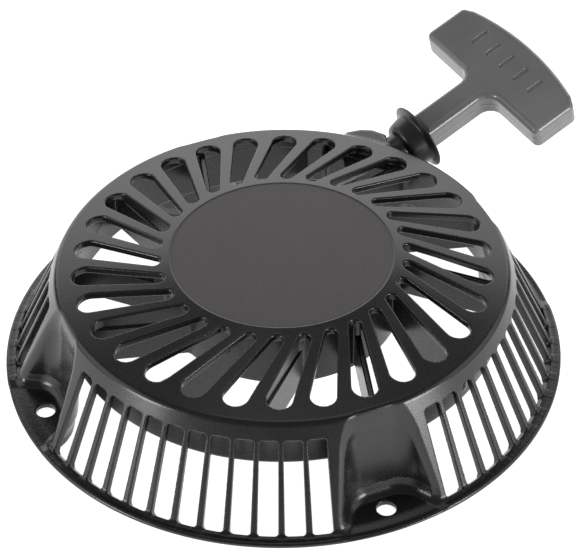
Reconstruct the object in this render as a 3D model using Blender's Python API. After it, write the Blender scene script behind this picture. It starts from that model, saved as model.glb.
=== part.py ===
"""Recoil starter for a small engine: a cast cover, a rope reel with its spring and pawls, and a T-handle.

Metres, +Z up. The origin is on the reel's axis, in the plane of the cover's mounting flange.
The rope leaves the cover on its +Y side.
"""

import math

import bmesh
import bpy
from mathutils import Matrix, Vector

GAP = 0.0003                # between neighbours that touch
ROUND_SEGMENTS = 60         # around the cover
SMALL_SEGMENTS = 24         # around the small turned pieces

# Cover
FLANGE_RADIUS = 0.120
FLANGE_THICKNESS = 0.0026
WALL = 0.0033
LABEL_RADIUS = 0.0472
LABEL_DEPTH = 0.0011
PLATE_TOP = 0.0533          # height of the plate where the label's recess ends
PLATE_SLOPE = 0.1478        # fall of the plate for each metre outwards
SKIRT_FOOT_RADIUS = 0.11695  # the skirt's cone, carried down to the flange plane
SKIRT_LEAN = 0.4548         # how far the skirt leans inwards for each metre upwards
RIM_ROUNDING = 0.0033
SHROUD_RADIUS = 0.0929      # ring that hangs inside the skirt
SHROUD_FOOT = 0.0211
DRUM_RADIUS = 0.0500        # wall around the reel
DRUM_FOOT = 0.0245
INNER_WALL = 0.0026
POST_RADIUS = 0.0090
POST_END = 0.0200

# Slots in the plate
SLOT_COUNT = 30
SLOT_OUTER_RADIUS = 0.0832
SLOT_INNER_RADIUS = 0.0539
SLOT_OUTER_CAP = 0.0056
SLOT_INNER_CAP = 0.0029
SLOT_START = math.radians(3.86)
SLOT_SWEEP = math.radians(10.39)

# Ribs under the plate
RIB_COUNT = 12
RIB_START = math.radians(16.0)
RIB_SWEEP = math.radians(15.5)
RIB_FOOT = 0.0258
RIB_THICKNESS = 0.0026

# Skirt bars
BAR_PITCH = math.radians(5.5434)
SKIRT_SLOTS_A_SIDE = 12
SKIRT_SLOT_FOOT = 0.0028
SKIRT_SLOT_HEAD = 0.0390
SKIRT_SLOT_WIDTH_FOOT = 0.0084
SKIRT_SLOT_WIDTH_HEAD = 0.0075
HOOD_CLEARANCE = math.radians(11.5)

# Bolt lugs
LUG_COUNT = 4
LUG_START = math.radians(45.0)
BOLT_CIRCLE_RADIUS = 0.10835
BOLT_HOLE_RADIUS = 0.0040
SCOOP_FOOT = 0.0032          # the hollow's floor, a little above the flange's face

# Rope, its outlet and the handle
ROPE_RADIUS = 0.00225
PULL_AZIMUTH = math.radians(56.18)
PULL_TILT = math.radians(17.32)
BAR_ROLL = math.radians(-7.56)   # the bar's right end hangs lower
EYELET_MOUTH = Vector((0.0201, 0.1153, 0.0396))
WINDING_RADIUS = 0.0437     # centre line of the outermost turn
WINDING_HEIGHT = 0.0345
HOOD_HEAD = 0.0430
HOOD_FOOT = 0.0140
HANDLE_START = 0.0004       # from the eyelet's mouth to the stem's end
HANDLE_THICKNESS = 0.0140
BAR_HALF = 0.0400
BAR_NEAR = 0.0355
BAR_FAR = 0.0655
BAR_FAR_AT_ENDS = 0.05935
STEM_HALF = 0.0070
STEM_FILLET = 0.0066

# Reel
REEL_RADIUS = 0.0466
REEL_FOOT = 0.0265
GROOVE_FOOT = 0.0295
GROOVE_HEAD = 0.0395
REEL_HEAD = 0.0420
GROOVE_RADIUS = 0.0325
SPRING_WELL_RADIUS = 0.0297
SPRING_WELL_FOOT = 0.0325
SPRING_WELL_HEAD = 0.0460
HUB_RADIUS = 0.0125
HUB_FOOT = 0.0205
HUB_BORE = POST_RADIUS + GAP
KNOT_ANGLE = math.radians(60.0)   # the knot that anchors the rope under the reel
KNOT_RADIUS = 0.0400
KNOT_HEIGHT = 0.0216

# Pawls and their cam plate
PAWL_ANGLES = {"a": 0.0, "b": math.pi}
PAWL_PIVOT_RADIUS = 0.0240
PAWL_PIN_RADIUS = 0.0030
PAWL_FOOT = 0.0193
PAWL_HEAD = 0.0255
PAWL_ARM_ANGLE = math.radians(-105.0)
PAWL_SWING = math.radians(35.0)
PAWL_LENGTH = 0.0200
PAWL_PEG_REACH = 0.0090
PAWL_PEG_RADIUS = 0.0020
PLATE_LAG = math.radians(25.0)
CAM_PLATE_RADIUS = 0.0330
CAM_PLATE_FOOT = 0.0165
CAM_PLATE_HEAD = 0.0183
SHOULDER_RADIUS = 0.0059
SCREW_HEAD_FOOT = 0.0070
SCREW_HEAD_TOP = 0.0110


# ---------------------------------------------------------------- helpers

def clear_scene():
    for item in list(bpy.data.objects):
        bpy.data.objects.remove(item, do_unlink=True)


def material(name, colour, roughness, metallic=0.0):
    look = bpy.data.materials.new(name)
    look.use_nodes = True
    shader = look.node_tree.nodes["Principled BSDF"]
    shader.inputs["Base Color"].default_value = (*colour, 1.0)
    shader.inputs["Roughness"].default_value = roughness
    shader.inputs["Metallic"].default_value = metallic
    return look


def add_object(name, builder, look=None, matrix=None):
    """Link a bmesh as an object with its origin where the mesh's own origin is."""
    bmesh.ops.remove_doubles(builder, verts=builder.verts, dist=1e-6)
    bmesh.ops.recalc_face_normals(builder, faces=builder.faces)
    mesh = bpy.data.meshes.new(name)
    builder.to_mesh(mesh)
    builder.free()
    mesh.shade_smooth()
    mesh.set_sharp_from_angle(angle=math.radians(32.0))
    item = bpy.data.objects.new(name, mesh)
    bpy.context.scene.collection.objects.link(item)
    if look is not None:
        mesh.materials.append(look)
    if matrix is not None:
        item.matrix_world = matrix
    return item


def as_guide(item):
    item.hide_render = True
    item.display_type = "WIRE"
    return item


def combine(target, guide, operation):
    modifier = target.modifiers.new(guide.name, "BOOLEAN")
    modifier.operation = operation
    modifier.solver = "EXACT"
    modifier.object = as_guide(guide)


def round_edges(item, width, segments=3, angle=40.0):
    modifier = item.modifiers.new("rounding", "BEVEL")
    modifier.width = width
    modifier.segments = segments
    modifier.limit_method = "ANGLE"
    modifier.angle_limit = math.radians(angle)


def polar(radius, angle, height=0.0):
    return Vector((radius * math.cos(angle), radius * math.sin(angle), height))


def arc(centre, radius, start, end, steps):
    """Points on an arc in the plane, both ends included."""
    points = []
    for step in range(steps + 1):
        angle = start + (end - start) * step / steps
        points.append((centre[0] + radius * math.cos(angle), centre[1] + radius * math.sin(angle)))
    return points


def add_loft(builder, rings):
    """Skin closed rings that hold the same number of points, and cap both ends."""
    rows = [[builder.verts.new(point) for point in ring] for ring in rings]
    count = len(rows[0])
    for lower, upper in zip(rows, rows[1:]):
        for index in range(count):
            following = (index + 1) % count
            builder.faces.new((lower[index], lower[following], upper[following], upper[index]))
    builder.faces.new(list(reversed(rows[0])))
    builder.faces.new(rows[-1])


def add_prism(builder, outline, foot, head):
    add_loft(builder, [[(x, y, height) for x, y in outline] for height in (foot, head)])


def add_turned(builder, profile, segments, closed=False):
    """Turn (radius, height) points about Z. A closed profile makes a ring, an open one ends on the axis."""
    rows = []
    for radius, height in profile:
        if radius < 1e-7:
            rows.append([builder.verts.new((0.0, 0.0, height))])
            continue
        angles = (math.tau * index / segments for index in range(segments))
        rows.append([builder.verts.new(polar(radius, angle, height)) for angle in angles])
    pairs = list(zip(rows, rows[1:]))
    if closed:
        pairs.append((rows[-1], rows[0]))
    for first, second in pairs:
        for index in range(segments):
            following = (index + 1) % segments
            corners = [first[index % len(first)], first[following % len(first)],
                       second[following % len(second)], second[index % len(second)]]
            unique = list(dict.fromkeys(corners))
            if len(unique) > 2:
                builder.faces.new(unique)


def turned(name, profile, look=None, segments=SMALL_SEGMENTS, closed=False, matrix=None):
    builder = bmesh.new()
    add_turned(builder, profile, segments, closed)
    return add_object(name, builder, look, matrix)


def cylinder_points(radius, foot, head):
    return [(0.0, foot), (radius, foot), (radius, head), (0.0, head)]


def tube(name, points, radius, look=None, resolution=2):
    """A round cord along a poly line, with filled ends."""
    curve = bpy.data.curves.new(name, "CURVE")
    curve.dimensions = "3D"
    curve.bevel_depth = radius
    curve.bevel_resolution = resolution
    curve.use_fill_caps = True
    spline = curve.splines.new("POLY")
    spline.points.add(len(points) - 1)
    for point, place in zip(spline.points, points):
        point.co = (*place, 1.0)
    item = bpy.data.objects.new(name, curve)
    bpy.context.scene.collection.objects.link(item)
    if look is not None:
        curve.materials.append(look)
    return item


def pull_frame():
    """Matrix at the eyelet's mouth: X along the bar, Y along the pull, Z out of the handle's top."""
    along = Vector((math.cos(PULL_AZIMUTH) * math.cos(PULL_TILT),
                    math.sin(PULL_AZIMUTH) * math.cos(PULL_TILT), math.sin(PULL_TILT)))
    across = along.cross(Vector((0.0, 0.0, 1.0))).normalized()
    top = across.cross(along)
    level = Matrix((across, along, top)).transposed().to_4x4()
    return Matrix.Translation(EYELET_MOUTH) @ level @ Matrix.Rotation(-BAR_ROLL, 4, "Y")


def turned_about_pull(offset=0.0):
    """The pull frame with its Z laid along the pull, for turned pieces."""
    return pull_frame() @ Matrix.Translation((0.0, offset, 0.0)) @ Matrix.Rotation(-math.pi / 2, 4, "X")


# ---------------------------------------------------------------- cover

def plate_height(radius):
    return PLATE_TOP - PLATE_SLOPE * (radius - LABEL_RADIUS)


def skirt_radius(height):
    return SKIRT_FOOT_RADIUS - SKIRT_LEAN * height


def rim_points(steps=3):
    """The rounding between the plate and the skirt."""
    plate_normal = math.atan2(1.0, PLATE_SLOPE)
    skirt_normal = math.atan(SKIRT_LEAN)
    depth = RIM_ROUNDING
    # The centre lies one rounding radius inside both the plate's line and the skirt's line.
    plate_level = PLATE_TOP + PLATE_SLOPE * LABEL_RADIUS - depth * math.hypot(1.0, PLATE_SLOPE)
    skirt_level = SKIRT_FOOT_RADIUS - depth * math.hypot(1.0, SKIRT_LEAN)
    height = (plate_level - PLATE_SLOPE * skirt_level) / (1.0 - PLATE_SLOPE * SKIRT_LEAN)
    centre = (skirt_level - SKIRT_LEAN * height, height)
    return arc(centre, depth, plate_normal, skirt_normal, steps)


def cover_profile():
    """Section of the cover's turned body, from the axis at the top to the axis at the post's end."""
    under = WALL * math.hypot(1.0, PLATE_SLOPE)
    inside = WALL * math.hypot(1.0, SKIRT_LEAN)
    recess = PLATE_TOP - LABEL_DEPTH
    shroud_inner = SHROUD_RADIUS - INNER_WALL
    drum_inner = DRUM_RADIUS - INNER_WALL
    ceiling = recess - WALL
    gutter = 0.0405
    return [
        (0.0, recess), (LABEL_RADIUS - 0.0006, recess), (LABEL_RADIUS, PLATE_TOP),
        *rim_points(),
        (skirt_radius(FLANGE_THICKNESS), FLANGE_THICKNESS), (FLANGE_RADIUS, FLANGE_THICKNESS),
        (FLANGE_RADIUS, 0.0), (skirt_radius(0.0) - inside, 0.0),
        (skirt_radius(gutter) - inside, gutter), (SHROUD_RADIUS, gutter),
        (SHROUD_RADIUS, SHROUD_FOOT), (shroud_inner, SHROUD_FOOT),
        (shroud_inner, plate_height(shroud_inner) - under),
        (DRUM_RADIUS, plate_height(DRUM_RADIUS) - under),
        (DRUM_RADIUS, DRUM_FOOT), (drum_inner, DRUM_FOOT), (drum_inner, ceiling),
        (POST_RADIUS, ceiling), (POST_RADIUS, POST_END), (0.0, POST_END),
    ]


def slot_outline(angle):
    """A slot with round ends, narrower towards the label, swept ahead at its inner end."""
    outer = polar(SLOT_OUTER_RADIUS, angle).xy
    inner = polar(SLOT_INNER_RADIUS, angle + SLOT_SWEEP).xy
    axis = outer - inner
    heading = math.atan2(axis.y, axis.x)
    lean = math.asin((SLOT_OUTER_CAP - SLOT_INNER_CAP) / axis.length)
    spread = math.pi / 2 + lean
    return (arc(outer, SLOT_OUTER_CAP, heading - spread, heading + spread, 5)
            + arc(inner, SLOT_INNER_CAP, heading + spread, heading + math.tau - spread, 4))


def plate_slots():
    builder = bmesh.new()
    for index in range(SLOT_COUNT):
        outline = slot_outline(SLOT_START + math.tau * index / SLOT_COUNT)
        add_prism(builder, outline, 0.0435, 0.0560)
    return add_object("cut_plate_slots", builder)


def skirt_slots():
    """Openings between the skirt's bars, in the four bays between the lugs."""
    builder = bmesh.new()
    corners = [(skirt_radius(SKIRT_SLOT_FOOT) - 0.0065, SKIRT_SLOT_FOOT),
               (skirt_radius(SKIRT_SLOT_FOOT) + 0.0055, SKIRT_SLOT_FOOT),
               (skirt_radius(SKIRT_SLOT_HEAD) + 0.0040, SKIRT_SLOT_HEAD),
               (skirt_radius(SKIRT_SLOT_HEAD) - 0.0052, SKIRT_SLOT_HEAD)]
    for bay in range(LUG_COUNT):
        middle = LUG_START + math.tau * (bay + 0.5) / LUG_COUNT
        for index in range(SKIRT_SLOTS_A_SIDE):
            offset = BAR_PITCH * (index - (SKIRT_SLOTS_A_SIDE - 1) / 2)
            if bay == 0 and abs(offset) < HOOD_CLEARANCE:
                continue
            turn = Matrix.Rotation(middle + offset, 3, "Z")
            rings = []
            for side in (-1.0, 1.0):
                ring = []
                for radius, height in corners:
                    rise = (height - SKIRT_SLOT_FOOT) / (SKIRT_SLOT_HEAD - SKIRT_SLOT_FOOT)
                    width = SKIRT_SLOT_WIDTH_FOOT + (SKIRT_SLOT_WIDTH_HEAD - SKIRT_SLOT_WIDTH_FOOT) * rise
                    ring.append(turn @ Vector((radius, side * width / 2, height)))
                rings.append(ring)
            add_loft(builder, rings)
    return add_object("cut_skirt_slots", builder)


def ribs():
    """Swept blades between the drum and the shroud ring, hanging from the plate."""
    builder = bmesh.new()
    near = DRUM_RADIUS - 0.0012
    far = SHROUD_RADIUS - 0.0012
    for index in range(RIB_COUNT):
        angle = RIB_START + math.tau * index / RIB_COUNT
        inner = polar(near, angle + RIB_SWEEP)
        outer = polar(far, angle)
        side = (outer - inner).cross(Vector((0.0, 0.0, 1.0))).normalized() * RIB_THICKNESS / 2
        rings = []
        for shift in (-side, side):
            rings.append([
                inner + shift + Vector((0.0, 0.0, RIB_FOOT)),
                outer + shift + Vector((0.0, 0.0, RIB_FOOT)),
                outer + shift + Vector((0.0, 0.0, plate_height(far) - 0.0015)),
                inner + shift + Vector((0.0, 0.0, plate_height(near) - 0.0015)),
            ])
        add_loft(builder, rings)
    return add_object("join_ribs", builder)


def lug_ring(height, back, back_half, mouth, mouth_half, rounding):
    """Plan of a lug's scoop at one height: flat back, rounded corners, sides that spread to the mouth."""
    run = Vector((mouth - back, mouth_half - back_half)).normalized()
    lead = rounding * 0.9
    points = []
    for side in (-1.0, 1.0):
        corner = Vector((back, side * back_half))
        start = corner + Vector((run.x, side * run.y)) * lead
        end = corner + Vector((0.0, -side)) * lead
        bend = [start.lerp(corner, part).lerp(corner.lerp(end, part), part)
                for part in (0.0, 0.33, 0.67, 1.0)]
        far = Vector((0.128, side * (mouth_half + (0.128 - mouth) * run.y / run.x)))
        branch = [far, *bend]
        points.append(branch if side < 0 else list(reversed(branch)))
    return [(point.x, point.y, height) for branch in points for point in branch]


def lug_scoops(name, inset, foot, head):
    """The hollow over each bolt, or with an inset the block of metal around that hollow."""
    builder = bmesh.new()
    levels = [
        (foot, 0.1004, 0.0120, 0.1160, 0.0218, 0.0065),
        (0.0080, 0.0988, 0.0125, 0.1135, 0.0212, 0.0060),
        (0.0340, 0.0962, 0.0110, 0.1030, 0.0160, 0.0050),
        (head, 0.0962, 0.0085, 0.0995, 0.0125, 0.0040),
    ]
    for index in range(LUG_COUNT):
        turn = Matrix.Rotation(LUG_START + math.tau * index / LUG_COUNT, 3, "Z")
        rings = []
        for height, back, back_half, mouth, mouth_half, rounding in levels:
            ring = lug_ring(height, back - inset, back_half + inset, mouth, mouth_half + inset,
                            rounding + inset)
            rings.append([turn @ Vector(point) for point in ring])
        add_loft(builder, rings)
    return add_object(name, builder)


def cover_envelope():
    """The cover's outer shape as a solid a hair smaller, which trims the blocks around the lugs."""
    hair = 0.0001
    edge = [(radius - hair, height - hair) for radius, height in rim_points()]
    profile = [(0.0, PLATE_TOP - LABEL_DEPTH - hair), (LABEL_RADIUS, PLATE_TOP - LABEL_DEPTH - hair), *edge,
               (skirt_radius(0.0) - hair, 0.0), (0.0, 0.0)]
    return turned("guide_envelope", profile, segments=ROUND_SEGMENTS)


def hood_outline(inset=0.0):
    """Plan of the bulge over the rope's outlet, whose right flank squares up to the pull."""
    pull = Vector((math.cos(PULL_AZIMUTH), math.sin(PULL_AZIMUTH)))
    flank = Vector((pull.y, -pull.x))
    shoulder = Vector((0.0085, 0.1058))
    points = [
        Vector((-0.0150 + inset, 0.0925)),
        Vector((-0.0120 + inset, 0.1010)),
        Vector((-0.0065 + inset * 0.6, 0.1072 - inset * 0.9)),
        Vector((0.0, 0.1090 - inset)),
        Vector((0.0050, 0.1083 - inset)),
        shoulder - pull * inset,
        shoulder + flank * 0.0190 - pull * inset,
        Vector((0.0215 - inset, 0.0880)),
    ]
    return [(point.x, point.y) for point in points]


def hood():
    builder = bmesh.new()
    outline = hood_outline()
    add_prism(builder, outline, HOOD_FOOT, HOOD_HEAD)
    item = add_object("join_hood", builder)
    round_edges(item, 0.0022, segments=2, angle=60.0)
    return item


def hood_cavity():
    """Room inside the hood, open downwards and towards the reel."""
    builder = bmesh.new()
    outline = [(x, max(y, SHROUD_RADIUS + 0.0004)) for x, y in hood_outline(WALL)]
    add_prism(builder, outline, -0.0010, HOOD_HEAD - WALL)
    return add_object("cut_hood_cavity", builder)


def rope_tangent():
    """Where the rope leaves the winding, and where it meets the eyelet's inner end."""
    entry = pull_frame() @ Vector((0.0, -0.0185, 0.0))
    reach = math.hypot(entry.x, entry.y)
    bearing = math.atan2(entry.y, entry.x)
    angle = bearing + math.acos(WINDING_RADIUS / reach)
    return polar(WINDING_RADIUS, angle, WINDING_HEIGHT), entry, angle


def rope_channel():
    """The way cut for the rope through the drum, the ribs and the shroud ring."""
    leave, entry, _ = rope_tangent()
    flat = Vector((entry.x - leave.x, entry.y - leave.y, 0.0))
    along = flat.normalized()
    side = Vector((-along.y, along.x, 0.0)) * 0.0050
    start = leave + along * 0.0060
    end = leave + along * (flat.length - 0.0015)
    builder = bmesh.new()
    outline = [(point.x, point.y) for point in (start - side, end - side, end + side, start + side)]
    add_prism(builder, outline, 0.0100, 0.0412)
    return add_object("cut_rope_channel", builder)


def bolt_holes():
    builder = bmesh.new()
    for index in range(LUG_COUNT):
        centre = polar(BOLT_CIRCLE_RADIUS, LUG_START + math.tau * index / LUG_COUNT)
        outline = arc(centre, BOLT_HOLE_RADIUS, 0.0, math.tau * 23 / 24, 23)
        add_prism(builder, outline, -0.0010, 0.0100)
    return add_object("cut_bolt_holes", builder)


def post_cuts():
    """The screw's hole in the post, and the slit that holds the spring's inner end."""
    screw = turned("cut_screw_hole", cylinder_points(0.0026, POST_END - 0.0010, 0.0380), segments=20)
    builder = bmesh.new()
    slit = [(0.0052, -0.0010), (0.0100, -0.0010), (0.0100, 0.0010), (0.0052, 0.0010)]
    add_prism(builder, slit, SPRING_WELL_FOOT, 0.0455)
    return screw, add_object("cut_post_slit", builder)


def build_cover(look):
    cover = turned("housing", cover_profile(), look, segments=ROUND_SEGMENTS)
    combine(cover, ribs(), "UNION")
    blocks = lug_scoops("join_lug_blocks", WALL, 0.0, 0.0436)
    combine(blocks, cover_envelope(), "INTERSECT")
    combine(cover, blocks, "UNION")
    combine(cover, hood(), "UNION")
    combine(cover, lug_scoops("cut_lug_scoops", 0.0, SCOOP_FOOT, 0.0440), "DIFFERENCE")
    combine(cover, plate_slots(), "DIFFERENCE")
    combine(cover, skirt_slots(), "DIFFERENCE")
    combine(cover, hood_cavity(), "DIFFERENCE")
    combine(cover, rope_channel(), "DIFFERENCE")
    combine(cover, bolt_holes(), "DIFFERENCE")
    for guide in post_cuts():
        combine(cover, guide, "DIFFERENCE")
    collar_hole = turned("cut_collar_hole", cylinder_points(0.0083, -0.0225, -0.0080), segments=24,
                         matrix=turned_about_pull())
    combine(cover, collar_hole, "DIFFERENCE")
    return cover


# ---------------------------------------------------------------- rope outlet and handle

def build_eyelet(look):
    """A spool: flared mouth, round barrel, and a collar held in the hood's flank."""
    profile = [
        (0.0058, 0.0), (0.0136, -0.0004), (0.0155, -0.0006), (0.0158, -0.0013), (0.0150, -0.0020),
        (0.0112, -0.0028), (0.0100, -0.0040), (0.0104, -0.0065), (0.0104, -0.0088), (0.0094, -0.0104),
        (0.0080, -0.0112), (0.0080, -0.0196), (0.0074, -0.0204), (0.0050, -0.0204),
        (0.0032, -0.0186), (0.0032, -0.0040), (0.0040, -0.0018),
    ]
    return turned("rope_eyelet", profile, look, segments=28, closed=True, matrix=turned_about_pull())


def handle_outline():
    """Half of the T's outline, mirrored: stem, fillet, near edge, rounded end, crowned far edge."""
    corner = 0.0033
    rise = BAR_FAR - BAR_FAR_AT_ENDS
    crown = (BAR_HALF ** 2 + rise ** 2) / (2 * rise)
    spread = math.asin((BAR_HALF - corner) / crown)
    half = [(STEM_HALF, HANDLE_START)]
    half += arc((STEM_HALF + STEM_FILLET, BAR_NEAR - STEM_FILLET), STEM_FILLET, math.pi, math.pi / 2, 6)
    half += arc((BAR_HALF - corner, BAR_NEAR + corner), corner, -math.pi / 2, 0.0, 4)
    half += arc((BAR_HALF - corner, BAR_FAR_AT_ENDS - corner), corner, 0.0, math.pi / 2 - spread, 4)
    half += arc((0.0, BAR_FAR - crown), crown, math.pi / 2 - spread, math.pi / 2, 6)[1:]
    mirrored = [(-x, y) for x, y in reversed(half[:-1])]
    return half + mirrored


def build_handle(look):
    builder = bmesh.new()
    add_prism(builder, handle_outline(), -HANDLE_THICKNESS / 2, HANDLE_THICKNESS / 2)
    grip = add_object("handle_grip", builder, look, pull_frame())
    round_edges(grip, 0.0032, segments=2, angle=60.0)
    pocket_builder = bmesh.new()
    pocket = [(-0.0090, 0.0450), (0.0090, 0.0450), (0.0090, 0.0700), (-0.0090, 0.0700)]
    add_prism(pocket_builder, pocket, -0.0043, 0.0043)
    combine(grip, add_object("cut_handle_pocket", pocket_builder, matrix=pull_frame()), "DIFFERENCE")
    bore = turned("cut_handle_bore", cylinder_points(ROPE_RADIUS + 0.0006, -0.0010, 0.0460), segments=20,
                  matrix=turned_about_pull())
    combine(grip, bore, "DIFFERENCE")
    return grip


def build_grip_insert(look):
    """A plate at the bottom of the handle's pocket, which the knot pulls against."""
    builder = bmesh.new()
    foot = 0.0450 + GAP
    outline = [(-0.0085, foot), (0.0085, foot), (0.0085, foot + 0.0015), (-0.0085, foot + 0.0015)]
    add_prism(builder, outline, -0.0039, 0.0039)
    plate = add_object("grip_insert", builder, look, pull_frame())
    hole = turned("cut_insert_hole", cylinder_points(ROPE_RADIUS + 0.0004, 0.0440, 0.0480), segments=20,
                  matrix=turned_about_pull())
    combine(plate, hole, "DIFFERENCE")
    return plate


def knot_mesh(builder, size):
    """An egg shape, a little waisted, for a pulled-down knot."""
    rings = 10
    segments = 16
    profile = []
    for ring in range(rings + 1):
        angle = math.pi * ring / rings - math.pi / 2
        waist = 1.0 - 0.10 * math.cos(2 * angle) ** 4
        profile.append((max(0.0, size * math.cos(angle) * waist) if 0 < ring < rings else 0.0,
                        size * math.sin(angle)))
    add_turned(builder, profile, segments)


def build_handle_knot(look):
    builder = bmesh.new()
    knot_mesh(builder, 1.0)
    bmesh.ops.scale(builder, vec=(0.0058, 0.0037, 0.0052), verts=builder.verts)
    place = turned_about_pull(0.0468 + GAP + 0.0052)
    return add_object("handle_knot", builder, look, place)


def build_ropes(look):
    """The rope in three stretches: through the handle, from reel to eyelet, and its turns on the reel."""
    frame = pull_frame()
    lead_start = -0.0150
    lead_end = 0.0468
    count = 9
    steps = [lead_start + (lead_end - lead_start) * index / (count - 1) for index in range(count)]
    tube("rope_lead", [frame @ Vector((0.0, step, 0.0)) for step in steps], ROPE_RADIUS, look)
    leave, _, angle = rope_tangent()
    meet = frame @ Vector((0.0, lead_start - GAP, 0.0))
    inside = frame @ Vector((0.0, lead_start - 0.0040, 0.0))
    wrap = math.radians(290.0)
    turns = 36
    points = []
    for index in range(turns):
        here = angle + wrap * (1.0 - index / turns)
        points.append(polar(WINDING_RADIUS, here, WINDING_HEIGHT))
    points.append(leave)
    for part in (0.2, 0.4, 0.6, 0.8, 0.94):
        points.append(leave.lerp(inside, part))
    points.append(inside)
    points.append(meet)
    tube("rope_run", points, ROPE_RADIUS, look)
    inner = GROOVE_RADIUS + GAP
    outer = WINDING_RADIUS - ROPE_RADIUS - GAP
    foot = GROOVE_FOOT + GAP
    head = GROOVE_HEAD - GAP
    middle = (foot + head) / 2
    profile = [(inner, foot), (outer - 0.0010, foot), (outer, foot + 0.0022), (outer - 0.0008, middle),
               (outer, head - 0.0022), (outer - 0.0010, head), (inner, head)]
    turned("rope_winding", profile, look, segments=40, closed=True)


# ---------------------------------------------------------------- reel

def build_reel(look):
    profile = [
        (HUB_BORE, HUB_FOOT), (HUB_RADIUS, HUB_FOOT), (HUB_RADIUS, REEL_FOOT),
        (REEL_RADIUS, REEL_FOOT), (REEL_RADIUS, GROOVE_FOOT - 0.0006), (GROOVE_RADIUS, GROOVE_FOOT),
        (GROOVE_RADIUS, GROOVE_HEAD), (REEL_RADIUS, GROOVE_HEAD + 0.0006), (REEL_RADIUS, REEL_HEAD),
        (GROOVE_RADIUS, REEL_HEAD), (GROOVE_RADIUS, SPRING_WELL_HEAD), (SPRING_WELL_RADIUS, SPRING_WELL_HEAD),
        (SPRING_WELL_RADIUS, SPRING_WELL_FOOT), (HUB_BORE, SPRING_WELL_FOOT),
    ]
    reel = turned("pulley", profile, look, segments=48, closed=True)
    pins = bmesh.new()
    pockets = bmesh.new()
    for angle in PAWL_ANGLES.values():
        centre = polar(PAWL_PIVOT_RADIUS, angle)
        add_prism(pins, arc(centre, PAWL_PIN_RADIUS, 0.0, math.tau * 19 / 20, 19), 0.0190, 0.0310)
        ring = arc(centre, 0.0062, 0.0, math.tau * 23 / 24, 23)
        add_prism(pockets, ring, REEL_FOOT - 0.0010, 0.0297)
    combine(reel, add_object("cut_pawl_spring_pockets", pockets), "DIFFERENCE")
    combine(reel, add_object("join_pawl_pins", pins), "UNION")
    hole = turned("cut_knot_hole", cylinder_points(0.0027, REEL_FOOT - 0.0010, GROOVE_FOOT + 0.0010),
                  segments=20, matrix=Matrix.Translation(polar(KNOT_RADIUS, KNOT_ANGLE)))
    combine(reel, hole, "DIFFERENCE")
    return reel


def build_reel_knot(look):
    builder = bmesh.new()
    size = 0.0044
    neck = 0.0020
    profile = [(0.0, -size)]
    for step in range(1, 8):
        angle = -math.pi / 2 + math.pi * step / 9
        profile.append((size * math.cos(angle), size * math.sin(angle)))
    neck_end = GROOVE_FOOT - KNOT_HEIGHT - 0.0001
    profile += [(neck, size * 0.94), (neck, neck_end), (0.0, neck_end)]
    add_turned(builder, profile, 18)
    return add_object("pulley_knot", builder, look,
                      Matrix.Translation(polar(KNOT_RADIUS, KNOT_ANGLE, KNOT_HEIGHT)))


def build_recoil_spring(look):
    """A flat strip wound in a spiral: its inner end turns into the post's slit."""
    turns = 7
    per_turn = 18
    half = 0.0003
    inner = POST_RADIUS + 0.0016
    outer = SPRING_WELL_RADIUS - 0.0009
    crowding = 0.45
    centre_line = [Vector((0.0058, 0.0)), Vector((POST_RADIUS + 0.0002, 0.0)),
                   Vector((inner - 0.0002, 0.0006))]
    count = turns * per_turn
    for index in range(2, count + 1):
        part = index / count
        angle = math.tau * turns * part
        radius = inner + (outer - inner) * part ** crowding if part > 0.2 else (
            inner + (outer - inner) * (0.2 ** crowding) * (part / 0.2))
        centre_line.append(polar(radius, angle).xy)
    left = []
    right = []
    for index, point in enumerate(centre_line):
        before = centre_line[max(index - 1, 0)]
        after = centre_line[min(index + 1, len(centre_line) - 1)]
        heading = (after - before).normalized()
        side = Vector((-heading.y, heading.x)) * half
        left.append(point + side)
        right.append(point - side)
    outline = [tuple(point) for point in left + list(reversed(right))]
    builder = bmesh.new()
    lower = [builder.verts.new((x, y, SPRING_WELL_FOOT + 0.0006)) for x, y in outline]
    upper = [builder.verts.new((x, y, SPRING_WELL_HEAD - 0.0020)) for x, y in outline]
    total = len(outline)
    for index in range(total):
        following = (index + 1) % total
        builder.faces.new((lower[index], lower[following], upper[following], upper[index]))
    for row in (lower, upper):
        for index in range(len(left) - 1):
            mate = total - 1 - index
            builder.faces.new((row[index], row[index + 1], row[mate - 1], row[mate]))
    return add_object("recoil_spring", builder, look)


def build_spring_keeper(look):
    """A thin disc over the spring, pressed into the mouth of its well."""
    foot = SPRING_WELL_HEAD - 0.0016
    head = SPRING_WELL_HEAD - 0.0004
    profile = [(POST_RADIUS + 0.0025, foot), (SPRING_WELL_RADIUS - GAP, foot),
               (SPRING_WELL_RADIUS - GAP, head), (POST_RADIUS + 0.0025, head)]
    return turned("spring_keeper", profile, look, segments=40, closed=True)


# ---------------------------------------------------------------- pawls and cam plate

def pawl_outline():
    """A round eye about the pivot, an arm, and a square-cut tooth at its far end."""
    along = Vector((math.cos(PAWL_ARM_ANGLE), math.sin(PAWL_ARM_ANGLE)))
    outward = Vector((-along.y, along.x))
    eye = 0.0055
    heading = PAWL_ARM_ANGLE
    points = arc((0.0, 0.0), eye, heading + math.radians(55.0), heading + math.radians(305.0), 14)
    for reach, offset in ((0.0100, -0.0040), (0.0160, -0.0032), (PAWL_LENGTH, -0.0012),
                          (PAWL_LENGTH - 0.0004, 0.0030), (0.0150, 0.0030), (0.0100, 0.0036)):
        point = along * reach + outward * offset
        points.append((point.x, point.y))
    return points


def peg_place(swing):
    """Centre of pawl a's peg in the reel's frame, with the pawl swung out by an angle."""
    pivot = polar(PAWL_PIVOT_RADIUS, 0.0).xy
    return pivot + polar(PAWL_PEG_REACH, PAWL_ARM_ANGLE + swing).xy


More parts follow.
